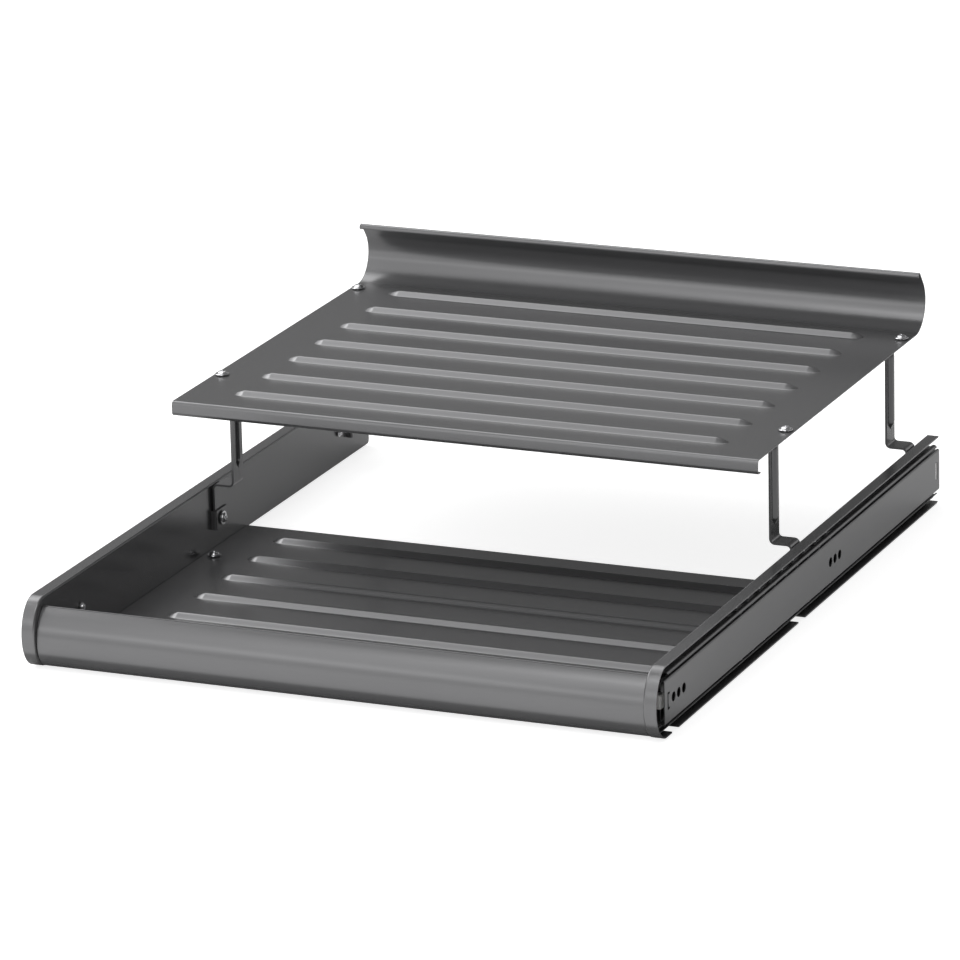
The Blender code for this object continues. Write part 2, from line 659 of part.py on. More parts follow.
def runner_rails():
    """Tray rail, middle rail and cabinet rail of both runners."""
    tray_path = both_halves(race(OUTER_BALL_X, OUTER_BALL_Z, 180, TRAY_LIP_ANGLE))
    tray_rail = rail("tray_rail_right", tray_path, TRAY_RAIL_FRONT, DEPTH - TRAY_RAIL_REAR_INSET)
    cuts = [round_bar((TRAY_RAIL_X, FRONT + place, RUNNER_Z), BORE_RADIUS, 2 * RAIL_SHEET + CUT_OVERRUN, "X")
            for place in RAIL_SCREW_PLACES]
    boolean(tray_rail, joined(cuts), "DIFFERENCE", "tray_rail_bores_right")
    mirrored_copy(tray_rail, "tray_rail_left")

    between = math.degrees(math.atan2(INNER_BALL_Z - OUTER_BALL_Z, ROW_STEP))
    start = -90 - math.degrees(math.asin((OUTER_BALL_X - MIDDLE_RAIL_X) / RACE_RADIUS))
    upper = race(OUTER_BALL_X, OUTER_BALL_Z, start, between, 3)
    upper += race(INNER_BALL_X, INNER_BALL_Z, between + 180, MIDDLE_LIP_ANGLE)[1:]
    rear = DEPTH - MIDDLE_RAIL_REAR_INSET
    middle_rail = rail("middle_rail_right", both_halves(upper), MIDDLE_RAIL_FRONT, rear)
    mirrored_copy(middle_rail, "middle_rail_left")

    flange = race(INNER_BALL_X, INNER_BALL_Z, RACE_ANGLE - 180, -RACE_ANGLE, 5)
    corner = Vector((CABINET_RAIL_X, RAIL_FACE_HEIGHT / 2 - RAIL_SHEET / 2))
    upper = flange + bent((flange[-1], corner, Vector((CABINET_RAIL_X, 0))), RAIL_EDGE_BEND, 3)[1:-1]
    cabinet_rail = rail("cabinet_rail_right", both_halves(upper[::-1]), CABINET_RAIL_FRONT, DEPTH)
    cuts = []
    for place in FRONT_HOLE_PLACES + MIDDLE_HOLE_PLACES:
        centre = (CABINET_RAIL_X, FRONT + place, RUNNER_Z)
        cuts.append(round_bar(centre, WALL_HOLE_RADIUS, RAIL_SHEET + CUT_OVERRUN, "X"))
    for place, height, width in ((LANCE_PLACE, LANCE_HEIGHT, LANCE_WIDTH),
                                 (DEPTH - REAR_SLOT_INSET, REAR_SLOT_HEIGHT, REAR_SLOT_WIDTH)):
        cuts.append(box((CABINET_RAIL_X - CUT_OVERRUN / 2, FRONT + place - width / 2, RUNNER_Z - height / 2),
                        (CABINET_RAIL_X + CUT_OVERRUN / 2, FRONT + place + width / 2, RUNNER_Z + height / 2)))
    boolean(cabinet_rail, joined(cuts), "DIFFERENCE", "cabinet_rail_holes_right")
    mirrored_copy(cabinet_rail, "cabinet_rail_left")


def ball_places():
    """Y of each ball along its cage."""
    return [FRONT + CAGE_START + BALL_MARGIN + BALL_PITCH * index for index in range(BALL_COUNT)]


def balls(x, z):
    """Upper and lower rows of balls for one cage."""
    spheres = []
    for y in ball_places():
        for side in (-1, 1):
            sphere = bmesh.new()
            spot = Matrix.Translation((x, y, RUNNER_Z + side * z))
            bmesh.ops.create_uvsphere(sphere, u_segments=BALL_SEGMENTS, v_segments=BALL_RINGS,
                                      radius=BALL_RADIUS, matrix=spot)
            spheres.append(sphere)
    return joined(spheres)


def ball_cages():
    """Retainer strips between the rails, each with the balls that it holds."""
    low = FRONT + CAGE_START
    high = low + CAGE_LENGTH
    half = CAGE_SHEET / 2
    reach = OUTER_BALL_Z + CAGE_FINGER
    plate = box((OUTER_CAGE_X - half, low, RUNNER_Z - reach), (OUTER_CAGE_X + half, high, RUNNER_Z + reach))
    outer = add_object("outer_ball_cage_right", plate, "bright_zinc", CAGE_SMOOTH_ANGLE)
    boolean(outer, balls(OUTER_BALL_X, OUTER_BALL_Z), "UNION", "outer_balls_right")
    mirrored_copy(outer, "outer_ball_cage_left")

    tip = INNER_BALL_X + CAGE_HORN
    path = [Vector((tip, RUNNER_Z - INNER_BALL_Z)), Vector((INNER_CAGE_X, RUNNER_Z - INNER_BALL_Z)),
            Vector((INNER_CAGE_X, RUNNER_Z + INNER_BALL_Z)), Vector((tip, RUNNER_Z + INNER_BALL_Z))]
    channel = prism(strip_outline(path, CAGE_SHEET), low, high, along_y)
    inner = add_object("inner_ball_cage_right", channel, "bright_zinc", CAGE_SMOOTH_ANGLE)
    boolean(inner, balls(INNER_BALL_X, INNER_BALL_Z), "UNION", "inner_balls_right")
    mirrored_copy(inner, "inner_ball_cage_left")


def runner_bumpers():
    """Nylon buffers in the front ends of the tray rails."""
    low_x = TRAY_RAIL_X + RAIL_SHEET / 2 + GAP
    low_y = FRONT + MIDDLE_RAIL_FRONT - RUN_GAP - BUMPER_LENGTH
    half = BUMPER_HEIGHT / 2
    high_x = low_x + BUMPER_WIDTH
    high_y = low_y + BUMPER_LENGTH
    outline = ((low_x, low_y), (high_x - BUMPER_EDGE, low_y), (high_x, low_y + BUMPER_EDGE),
               (high_x, high_y), (low_x, high_y))
    buffer = prism(outline, RUNNER_Z - half, RUNNER_Z + half, along_z)
    bumper = add_object("runner_bumper_right", buffer, "white_nylon")
    mirrored_copy(bumper, "runner_bumper_left")


def screw_mesh(length):
    """Screw with its tip at the origin and its head up +Z; length runs from the tip to the seat."""
    collar = length + GAP
    crown = collar + SCREW_COLLAR_HEIGHT
    profile = [(0, 0), (SCREW_RADIUS, 0), (SCREW_RADIUS, collar), (SCREW_COLLAR_RADIUS, collar),
               (SCREW_COLLAR_RADIUS, crown)]
    for width_share, height_share in SCREW_CROWN_SHARES:
        profile.append((SCREW_HEAD_RADIUS * width_share, crown + SCREW_HEAD_HEIGHT * height_share))
    profile.append((0, crown + SCREW_HEAD_HEIGHT))
    builder = bmesh.new()
    verts = [builder.verts.new((radius, 0, height)) for radius, height in profile]
    edges = [builder.edges.new(pair) for pair in zip(verts, verts[1:])]
    bmesh.ops.spin(builder, geom=verts + edges, cent=(0, 0, 0), axis=(0, 0, 1), dvec=(0, 0, 0),
                   angle=2 * math.pi, steps=SCREW_SIDES, use_merge=True)
    bmesh.ops.remove_doubles(builder, verts=builder.verts, dist=MERGE_DISTANCE)
    bmesh.ops.recalc_face_normals(builder, faces=builder.faces)
    mesh = bpy.data.meshes.new("screw")
    builder.to_mesh(mesh)
    builder.free()
    mesh.materials.append(finish("bright_zinc"))
    mesh.shade_smooth()
    mesh.set_sharp_from_angle(angle=math.radians(SCREW_SMOOTH_ANGLE))
    return mesh


def place_screw(name, mesh, tip, turn=0.0):
    """Put one copy of a screw in place; turn tips it about Y."""
    item = bpy.data.objects.new(name, mesh)
    item.location = tip
    item.rotation_euler = (0, turn, 0)
    bpy.context.collection.objects.link(item)


def screws():
    """Every screw as its own object; each kind shares one mesh."""
    tab_low = LEG_TAB_Z - LEG_SHEET / 2
    shelf_screw = screw_mesh(SHELF_TOP - tab_low)
    leg_screw = screw_mesh(WEB_OUTSIDE_X - (POCKET_X - POCKET_SHEET / 2))
    floor_screw = screw_mesh(FLOOR_TOP)
    rail_screw = screw_mesh(TRAY_RAIL_X + RAIL_SHEET / 2 - WEB_INSIDE_X)
    for side, hand in ((-1, "left"), (1, "right")):
        tipped = -side * math.pi / 2
        for place, row in zip(LEG_PLACES, ("front", "rear")):
            y = FRONT + place
            place_screw(f"shelf_screw_{row}_{hand}", shelf_screw, (side * SHELF_SCREW_X, y, tab_low))
            tip = (side * WEB_OUTSIDE_X, y, POCKET_MIDDLE)
            place_screw(f"leg_screw_{row}_{hand}", leg_screw, tip, tipped)
        for place, row in zip(FLOOR_SCREW_PLACES, ("front", "rear")):
            place_screw(f"floor_screw_{row}_{hand}", floor_screw, (side * FLOOR_SCREW_X, FRONT + place, 0))
        for place, row in zip(RAIL_SCREW_PLACES, ("front", "rear")):
            tip = (side * (TRAY_RAIL_X + RAIL_SHEET / 2), FRONT + place, RUNNER_Z)
            place_screw(f"rail_screw_{row}_{hand}", rail_screw, tip, tipped)
    for number, x in enumerate(fascia_screw_places(), 1):
        place_screw(f"fascia_screw_{number}", floor_screw, (x, FRONT + FASCIA_SCREW_PLACE, 0))


clear_scene()
side_panels()
fascia()
tray_floor()
shoe_shelf()
legs()
runner_rails()
ball_cages()
runner_bumpers()
screws()
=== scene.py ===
# %% [markdown]
# # A pull-out shoe rack for a wardrobe
# The object is a low steel tray that slides out of a wardrobe on two ball bearing runners. A ribbed
# shelf for shoes stands on four bent legs over the back half of the tray.
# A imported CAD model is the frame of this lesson. Every piece takes its size and place from it and
# rides on the CAD body that carries it, so the tray still pulls out.

# %% Load the frame
import math

import bmesh
import bpy
from mathutils import Matrix, Vector


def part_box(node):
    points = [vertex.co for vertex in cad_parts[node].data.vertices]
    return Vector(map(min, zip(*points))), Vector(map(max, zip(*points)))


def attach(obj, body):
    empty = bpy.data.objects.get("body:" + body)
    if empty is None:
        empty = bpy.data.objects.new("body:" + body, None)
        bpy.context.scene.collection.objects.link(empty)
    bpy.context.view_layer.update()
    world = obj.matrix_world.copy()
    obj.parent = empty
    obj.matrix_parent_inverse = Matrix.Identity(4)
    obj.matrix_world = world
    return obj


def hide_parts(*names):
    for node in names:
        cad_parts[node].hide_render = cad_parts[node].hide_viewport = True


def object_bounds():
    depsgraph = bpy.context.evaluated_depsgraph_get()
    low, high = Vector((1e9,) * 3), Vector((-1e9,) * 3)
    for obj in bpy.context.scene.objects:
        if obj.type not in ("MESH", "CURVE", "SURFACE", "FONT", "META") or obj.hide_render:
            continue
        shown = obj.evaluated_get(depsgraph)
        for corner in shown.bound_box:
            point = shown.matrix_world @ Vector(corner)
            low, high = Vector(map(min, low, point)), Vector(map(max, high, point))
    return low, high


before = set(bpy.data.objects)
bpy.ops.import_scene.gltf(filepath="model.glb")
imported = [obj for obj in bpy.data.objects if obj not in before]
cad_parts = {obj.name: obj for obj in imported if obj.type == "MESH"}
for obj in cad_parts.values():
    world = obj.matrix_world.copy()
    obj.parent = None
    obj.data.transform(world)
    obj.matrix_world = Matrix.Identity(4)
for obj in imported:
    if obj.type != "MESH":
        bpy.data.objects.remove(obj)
cad_low, cad_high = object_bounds()
MM = 0.001
print("size in mm:", [round(length / MM, 1) for length in cad_high - cad_low])

# %% [markdown]
# ## The camera
# The photograph was taken from far away with a long lens, so the tray's edges hardly converge. The
# camera stands to the right of the front, looks down a little and leans by a degree. Its place was
# worked out from points that show in the photograph and are known on the CAD model.

# %% Place the camera
PHOTO_PIXELS = 960
FOCAL_PIXELS = 6697.5
SENSOR_WIDTH = 36.0
CLIP_END = 100.0
CAMERA_AZIMUTH = 23.175
CAMERA_ELEVATION = 17.224
CAMERA_ROLL = -1.317
CAMERA_PLACE = (1.7568, -4.1315, 1.4679)


def placed(name, data):
    """Object with this data, linked to the scene."""
    item = bpy.data.objects.new(name, data)
    bpy.context.collection.objects.link(item)
    return item


def photo_camera():
    """Camera with the photograph's viewpoint and field of view."""
    data = bpy.data.cameras.new("photo_camera")
    data.sensor_width = SENSOR_WIDTH
    data.lens = SENSOR_WIDTH * FOCAL_PIXELS / PHOTO_PIXELS
    data.clip_end = CLIP_END
    camera = placed("photo_camera", data)
    swing = Matrix.Rotation(math.radians(CAMERA_AZIMUTH), 3, "Z")
    tilt = Matrix.Rotation(math.radians(90 - CAMERA_ELEVATION), 3, "X")
    lean = Matrix.Rotation(math.radians(CAMERA_ROLL), 3, "Z")
    camera.matrix_world = Matrix.Translation(CAMERA_PLACE) @ (swing @ tilt @ lean).to_4x4()
    bpy.context.scene.camera = camera
    return camera


camera = photo_camera()
print("lens in mm:", round(camera.data.lens, 1))

# %% [markdown]
# ## Colours and nodes
# Colours are easier to compare with a photograph as sRGB hex values, but shaders work with linear
# light. One function turns the first into the second, and one adds a shader node with its settings
# and links, so each material below reads as a short list.

# %% Two helpers for materials
def linear(hex_colour):
    """Linear colour with alpha from an sRGB hex value."""
    shares = [int(hex_colour[place:place + 2], 16) / 255 for place in (1, 3, 5)]
    return (*[share / 12.92 if share <= 0.04045 else ((share + 0.055) / 1.055) ** 2.4
              for share in shares], 1)


def add_node(tree, kind, links=None, **settings):
    """Add a node; settings are its own properties or the values of its sockets."""
    node = tree.nodes.new(kind)
    for name, value in settings.items():
        if hasattr(node, name):
            setattr(node, name, value)
        else:
            node.inputs[name.replace("_", " ")].default_value = value
    for name, source in (links or {}).items():
        tree.links.new(source, node.inputs[name])
    return node


print("mid grey in linear light:", round(linear("#808080")[0], 3))

# %% [markdown]
# ## Floor, world and lamps
# The photograph shows the rack before plain white. A wide pale floor keeps a soft shadow. To the
# camera it adds a glow through the Light Path node, so it turns white with no more light on the rack.
# In mirrored rays the floor's glow carries painted shade: white in front of the rack, painted dark
# under it, as if a low tray shut the light out there, and dim farther back. That painted shade draws
# the dark band along the fascia's foot and keeps the inner faces of the side panels dark. The world
# gives the same plain light in every direction.
# Satin paint shows each lamp as a soft patch, so the softboxes stand where the photograph's bright
# faces mirror them: most on the left and in front, one low in front for the fascia, and one low and
# weak behind for the edges that run to the back.

# %% Build the stage
FLOOR_REACH = 60.0
FLOOR_DROP = 1 * MM
FLOOR_COLOUR = "#bcbcbc"
FLOOR_GLOW = 0.8  # camera level near the rack, 1 beyond the pool
MIRRORED_REAR = 0.3  # mirrored level behind the fascia
# painted shade in mirrored rays: where the floor's glow fades out under the rack's front
FLOOR_SHADE = (cad_low.y - 6 * MM, cad_low.y - 2 * MM)
FLOOR_BACK = (cad_low.y + 30 * MM, cad_low.y + 90 * MM)
FLOOR_POOL = 3.0
WORLD_LIGHT = 0.22


def loose_object(name, builder):
    """Object from a bmesh."""
    mesh = bpy.data.meshes.new(name)
    builder.to_mesh(mesh)
    builder.free()
    return placed(name, mesh)


def seen_directly(tree):
    """1 for what the camera, a reflection or a clear piece sees, otherwise 0."""
    rays = add_node(tree, "ShaderNodeLightPath").outputs
    some = add_node(tree, "ShaderNodeMath", {0: rays["Is Camera Ray"], 1: rays["Is Glossy Ray"]},
                    operation="MAXIMUM")
    every = add_node(tree, "ShaderNodeMath", {0: some.outputs[0], 1: rays["Is Transmission Ray"]},
                     operation="MAXIMUM")
    return every.outputs[0]


def studio_floor():
    """Wide pale floor just under the rack."""
    builder = bmesh.new()
    bmesh.ops.create_grid(builder, x_segments=1, y_segments=1, size=FLOOR_REACH)
    floor = loose_object("studio_floor", builder)
    floor.location.z = cad_low.z - FLOOR_DROP
    paper = bpy.data.materials.new("matt_white_paper")
    paper.use_nodes = True
    tree = paper.node_tree
    tree.nodes.clear()
    matt = add_node(tree, "ShaderNodeBsdfDiffuse", Color=linear(FLOOR_COLOUR))
    spot = add_node(tree, "ShaderNodeTexCoord").outputs["Object"]
    shrink = add_node(tree, "ShaderNodeMapping", {"Vector": spot}, Scale=(1 / FLOOR_POOL,) * 3)
    pool = add_node(tree, "ShaderNodeTexGradient", {"Vector": shrink.outputs[0]},
                    gradient_type="SPHERICAL")
    level = add_node(tree, "ShaderNodeMapRange", {"Value": pool.outputs["Fac"]},
                     To_Min=1.0, To_Max=FLOOR_GLOW)
    depth = add_node(tree, "ShaderNodeSeparateXYZ", {0: spot}).outputs["Y"]
    # painted shade: the mirrored glow drops to nothing under the rack's front edge
    front = add_node(tree, "ShaderNodeMapRange", {"Value": depth}, To_Min=1.0, To_Max=0.0,
                     From_Min=FLOOR_SHADE[0], From_Max=FLOOR_SHADE[1])
    # painted shade: a dimmer mirrored glow farther back
    back = add_node(tree, "ShaderNodeMapRange", {"Value": depth}, To_Max=MIRRORED_REAR,
                    From_Min=FLOOR_BACK[0], From_Max=FLOOR_BACK[1])
    sweep = add_node(tree, "ShaderNodeMath", {0: front.outputs["Result"], 1: back.outputs["Result"]},
                     operation="ADD")
    rays = add_node(tree, "ShaderNodeLightPath")
    seen = add_node(tree, "ShaderNodeEmission", {"Strength": level.outputs["Result"]})
    mirrored = add_node(tree, "ShaderNodeEmission", {"Strength": sweep.outputs[0]})
    glow = add_node(tree, "ShaderNodeMixShader",
                    {0: rays.outputs["Is Glossy Ray"], 1: seen.outputs[0], 2: mirrored.outputs[0]})
    dark = add_node(tree, "ShaderNodeEmission", Strength=0.0)
    shown = add_node(tree, "ShaderNodeMixShader",
                     {0: seen_directly(tree), 1: dark.outputs[0], 2: glow.outputs[0]})
    both = add_node(tree, "ShaderNodeAddShader", {0: matt.outputs[0], 1: shown.outputs[0]})
    add_node(tree, "ShaderNodeOutputMaterial", {"Surface": both.outputs[0]})
    floor.data.materials.append(paper)


def studio_world():
    """World with the same plain level of light in every direction."""
    world = bpy.data.worlds.new("plain_studio")
    world.use_nodes = True
    tree = world.node_tree
    tree.nodes.clear()
    light = add_node(tree, "ShaderNodeBackground", Color=linear("#ffffff"), Strength=WORLD_LIGHT)
    add_node(tree, "ShaderNodeOutputWorld", {"Surface": light.outputs[0]})
    bpy.context.scene.world = world


def softbox(name, turn, rise, width, height, radiance):
    """Area lamp that faces the rack; turn 0 is in front and 90 right, radiance 1 is mirrored white."""
    data = bpy.data.lights.new(name, "AREA")
    data.shape = "RECTANGLE"
    data.size, data.size_y = width, height
    data.energy = radiance * math.pi * width * height
    lamp = placed(name, data)
    turn, rise = math.radians(turn), math.radians(rise)
    middle = Vector((0, 0, cad_high.z / 2))
    toward = Vector((math.cos(rise) * math.sin(turn), -math.cos(rise) * math.cos(turn), math.sin(rise)))
    lamp.location = middle + toward * LAMP_DISTANCE
    lamp.rotation_euler = (-toward).to_track_quat("-Z", "Y").to_euler()


LAMP_DISTANCE = 3.0
# name, turn, rise, width, height, radiance
LAMPS = (
    ("overhead_left_softbox", -125, 62, 1.9, 1.9, 1.6),
    ("high_front_softbox", 0, 62, 1.8, 1.4, 3.0),
    ("front_softbox", -5, 30, 2.4, 2.2, 0.9),
    ("left_front_softbox", -42, 35, 2.4, 2.4, 0.9),
    ("low_front_strip", -25, 9, 2.4, 0.95, 1.15),
    ("left_softbox", -90, 40, 2.0, 2.0, 3.3),
    ("left_rear_softbox", -138, 48, 2.7, 1.7, 1.35),
    ("low_rear_strip", 155, 15, 0.9, 0.8, 0.9),
)
studio_floor()
studio_world()
for lamp in LAMPS:
    softbox(*lamp)
bpy.context.scene.view_settings.view_transform = "Standard"
print("lamps:", [lamp[0] for lamp in LAMPS])

# %% [markdown]
# ## The finishes
# - **Powder coated steel.** The tray is cold rolled sheet under a dark metallic powder coat. The
#   powder melts into a satin film with a slight orange peel, and fine metal flakes in it give the eye
#   a soft sheen rather than a mirror. A brushed or bare metal was the other choice, but the photograph
#   shows no grain.
# - **Roll formed runner steel.** The rails are zinc plated strip under a grey passivation. Rolling
#   leaves faint streaks along their length.
# - **Bright zinc.** Screws are zinc plated with a fine grain, the ball cages are thin plated strip.
# - **Bearing steel.** Hardened and polished balls, the only mirror on the rack.
# - **Nylon.** The buffers are moulded in natural nylon, white and a little waxy.

# %% Powder coated steel
PEEL_SIZE = 1.1 * MM
FLAKE_SIZE = 0.35 * MM
CLOUD_SIZE = 45 * MM
PEEL_DEPTH = 0.005 * MM
POWDER_DARK = "#6a6a6b"
POWDER_LIGHT = "#707071"
POWDER_METALLIC = 0.6
POWDER_ROUGHNESS = (0.24, 0.26)


def new_finish(name):
    """Material with one Principled shader; returns its tree, its shader and its object coordinates."""
    material = bpy.data.materials.new(name)
    material.use_nodes = True
    tree = material.node_tree
    shader = tree.nodes["Principled BSDF"]
    spot = add_node(tree, "ShaderNodeTexCoord").outputs["Object"]
    return material, tree, shader, spot


def vary(tree, shader, colour_by, dark, light):
    """Let the base colour run between two close tones after a pattern."""
    colour = add_node(tree, "ShaderNodeMix", {"Factor": colour_by}, data_type="RGBA")
    colour.inputs["A"].default_value = linear(dark)
    colour.inputs["B"].default_value = linear(light)
    tree.links.new(colour.outputs["Result"], shader.inputs["Base Color"])


def roughen(tree, shader, rough_by, low, high):
    """Let the roughness run between two values after a pattern."""
    rough = add_node(tree, "ShaderNodeMapRange", {"Value": rough_by}, To_Min=low, To_Max=high)
    tree.links.new(rough.outputs["Result"], shader.inputs["Roughness"])


def emboss(tree, shader, height_by, depth):
    """Raise the surface by a depth after a pattern."""
    bump = add_node(tree, "ShaderNodeBump", {"Height": height_by}, Strength=1.0, Distance=depth)
    tree.links.new(bump.outputs["Normal"], shader.inputs["Normal"])


def powder_coated_steel():
    """Dark satin coat with orange peel, metal flakes and a very faint cloudiness."""
    material, tree, shader, spot = new_finish("powder_coated_steel")
    flakes = add_node(tree, "ShaderNodeTexNoise", {"Vector": spot}, Scale=1 / FLAKE_SIZE, Detail=1.0)
    clouds = add_node(tree, "ShaderNodeTexNoise", {"Vector": spot}, Scale=1 / CLOUD_SIZE, Detail=2.0)
    blend = add_node(tree, "ShaderNodeMath", {0: flakes.outputs["Fac"], 1: clouds.outputs["Fac"]},
                     operation="MULTIPLY")
    vary(tree, shader, blend.outputs[0], POWDER_DARK, POWDER_LIGHT)
    roughen(tree, shader, flakes.outputs["Fac"], *POWDER_ROUGHNESS)
    peel = add_node(tree, "ShaderNodeTexNoise", {"Vector": spot}, Scale=1 / PEEL_SIZE, Detail=1.0)
    emboss(tree, shader, peel.outputs["Fac"], PEEL_DEPTH)
    shader.inputs["Metallic"].default_value = POWDER_METALLIC
    return material


# %% Runner steel, bright zinc, bearing steel and nylon
STREAK_WIDTH = 0.5 * MM
STREAK_LENGTH = 60 * MM
STREAK_DEPTH = 0.003 * MM
ZINC_GRAIN = 0.6 * MM
SCUFF_SIZE = 0.4 * MM
NYLON_CLOUD = 3 * MM
NYLON_ROUGHNESS = 0.4
NYLON_IOR = 1.53


def streaked_metal(name, dark, light, metallic, roughness):
    """Metal strip with faint rolling streaks along the rack's depth."""
    material, tree, shader, spot = new_finish(name)
    stretch = add_node(tree, "ShaderNodeMapping", {"Vector": spot},
                       Scale=(1 / STREAK_WIDTH, 1 / STREAK_LENGTH, 1 / STREAK_WIDTH))
    noise = add_node(tree, "ShaderNodeTexNoise", {"Vector": stretch.outputs[0]}, Scale=1.0, Detail=2.0)
    streaks = noise.outputs["Fac"]
    vary(tree, shader, streaks, dark, light)
    roughen(tree, shader, streaks, *roughness)
    emboss(tree, shader, streaks, STREAK_DEPTH)
    shader.inputs["Metallic"].default_value = metallic
    return material


def grained_metal(name, dark, light, grain, roughness):
    """Plain bright metal whose colour and gloss vary with a fine grain."""
    material, tree, shader, spot = new_finish(name)
    noise = add_node(tree, "ShaderNodeTexNoise", {"Vector": spot}, Scale=1 / grain, Detail=2.0)
    vary(tree, shader, noise.outputs["Fac"], dark, light)
    roughen(tree, shader, noise.outputs["Fac"], *roughness)
    shader.inputs["Metallic"].default_value = 1.0
    return material


def natural_nylon():
    """White moulded nylon, faintly cloudy and a little waxy."""
    material, tree, shader, spot = new_finish("natural_nylon")
    clouds = add_node(tree, "ShaderNodeTexNoise", {"Vector": spot}, Scale=1 / NYLON_CLOUD, Detail=2.0)
    vary(tree, shader, clouds.outputs["Fac"], "#f4f3f0", "#fbfaf8")
    shader.inputs["Roughness"].default_value = NYLON_ROUGHNESS
    shader.inputs["IOR"].default_value = NYLON_IOR
    return material


POWDER = powder_coated_steel()
RUNNER_STEEL = streaked_metal("roll_formed_runner_steel", "#707071", "#7b7b7c", 0.8, (0.26, 0.34))
CAGE_STEEL = streaked_metal("zinc_plated_cage_strip", "#a9a9aa", "#bdbdbe", 1.0, (0.24, 0.34))
BRIGHT_ZINC = grained_metal("bright_zinc_plate", "#bfbfc1", "#dcdcde", ZINC_GRAIN, (0.14, 0.24))
BEARING_STEEL = grained_metal("polished_bearing_steel", "#b6b6b9", "#c6c6c9", SCUFF_SIZE, (0.06, 0.10))
NYLON = natural_nylon()
FINISHES = (POWDER, RUNNER_STEEL, CAGE_STEEL, BRIGHT_ZINC, BEARING_STEEL, NYLON)
print("finishes:", [finish.name for finish in FINISHES])

# %% [markdown]
# ## Sheet metal, the way a press makes it
# Nearly every piece is bent sheet, and two ways of modelling cover them all. A piece with the same
# section all along, such as a rail or the fascia, is an outline run along one axis. A pressed piece is
# built through rows of points that change from place to place: the ribbed sheets as closed rings, the
# side panels and legs as a surface that the Solidify modifier turns into sheet.
# Holes are cut with a Boolean, and a small Bevel breaks the sharp edges so that they catch the light.

# %% Paths and outlines
SHARPEST_MITRE = 0.5


def arc(centre, radius, start, end, steps):
    """Points on a circle from one angle to another, in degrees."""
    points = []
    for step in range(steps + 1):
        angle = math.radians(start + (end - start) * step / steps)
        x = centre[0] + radius * math.cos(angle)
        points.append(Vector((x, centre[1] + radius * math.sin(angle))))
    return points


def rounded(points, radius, steps):
    """Round each inner corner of a path with an arc."""
    points = [Vector(point) for point in points]
    path = [points[0]]
    for before, corner, after in zip(points, points[1:], points[2:]):
        back = (before - corner).normalized()
        ahead = (after - corner).normalized()
        half = back.angle(ahead) / 2
        centre = corner + (back + ahead).normalized() * radius / math.sin(half)
        first = corner + back * (radius / math.tan(half)) - centre
        turn = first.angle_signed(corner + ahead * (radius / math.tan(half)) - centre)
        for step in range(steps + 1):
            path.append(centre + Matrix.Rotation(-turn * step / steps, 2) @ first)
    path.append(points[-1])
    return path


def sheet_outline(path, thickness):
    """Closed outline of a sheet of even thickness along a path."""
    path = [Vector(point) for point in path]
    one_side, other_side = [], []
    for index, point in enumerate(path):
        before = path[max(index - 1, 0)]
        after = path[min(index + 1, len(path) - 1)]
        ahead = (after - point).normalized() if after != point else (point - before).normalized()
        back = (point - before).normalized() if before != point else ahead
        normal = Vector((-back.y - ahead.y, back.x + ahead.x)).normalized()
        reach = thickness / 2 / max(normal.dot(Vector((-ahead.y, ahead.x))), SHARPEST_MITRE)
        one_side.append(point + normal * reach)
        other_side.append(point - normal * reach)
    return one_side + other_side[::-1]


print("points in a quarter turn of 8 steps:", len(arc((0, 0), 1, 0, 90, 8)))


# %% Solids from outlines and rows
def lofted(rings):
    """Closed solid through rings of points that all have the same count, flat at both ends."""
    builder = bmesh.new()
    verts = [[builder.verts.new(point) for point in ring] for ring in rings]
    for lower, upper in zip(verts, verts[1:]):
        for index in range(len(lower)):
            after = (index + 1) % len(lower)
            builder.faces.new((lower[index], lower[after], upper[after], upper[index]))
    builder.faces.new(verts[0][::-1])
    builder.faces.new(verts[-1])
    bmesh.ops.recalc_face_normals(builder, faces=builder.faces)
    return builder


def extruded(outline, low, high, axis):
    """Extrude a closed outline along an axis; its points hold the other two coordinates in order."""
    place = "XYZ".index(axis)
    return lofted([[Vector((*point[:place], along, *point[place:])) for point in outline]
                   for along in (low, high)])


def surface(rows):
    """Surface through rows of points that all have the same count."""
    builder = bmesh.new()
    verts = [[builder.verts.new(point) for point in row] for row in rows]
    for lower, upper in zip(verts, verts[1:]):
        for index in range(len(lower) - 1):
            builder.faces.new((lower[index], lower[index + 1], upper[index + 1], upper[index]))
    return builder


def block(low, high):
    """A plain block between two corners, used as a cutter."""
    outline = ((low[0], low[1]), (high[0], low[1]), (high[0], high[1]), (low[0], high[1]))
    return extruded(outline, low[2], high[2], "Z")


HOLE_SIDES = 24
CUT = 2 * MM


def bar(centre, radius, axis, length=2 * CUT):
    """A round bar centred on a point, used as a cutter."""
    builder = bmesh.new()
    bmesh.ops.create_cone(builder, cap_ends=True, segments=HOLE_SIDES, radius1=radius, radius2=radius,
                          depth=length)
    if axis == "X":
        quarter = Matrix.Rotation(math.pi / 2, 3, "Y")
        bmesh.ops.rotate(builder, cent=Vector(), matrix=quarter, verts=builder.verts)
    bmesh.ops.translate(builder, vec=Vector(centre), verts=builder.verts)
    return builder


print("faces of a cutter block:", len(block((0, 0, 0), (1, 1, 1)).faces))


# %% [markdown]
# ## From bmesh to a finished piece
# Each piece goes through the same steps: give the surface its thickness, weld on or cut out what the
# press did, break the edges, and bake all that into one plain mesh, where the large faces set the
# shading. Then it gets its finish, rides on its CAD body and takes the place of the CAD node that it
# dresses. A left piece is the mirror image of the right one, and its shading is weighed again, as the
# normals stored for the right one don't fit it.

# %% Finish a piece
EDGE_BREAK = 0.18 * MM
EDGE_ANGLE = 80.0
EDGE_SEGMENTS = 2
SHADE_ANGLE = 32.0


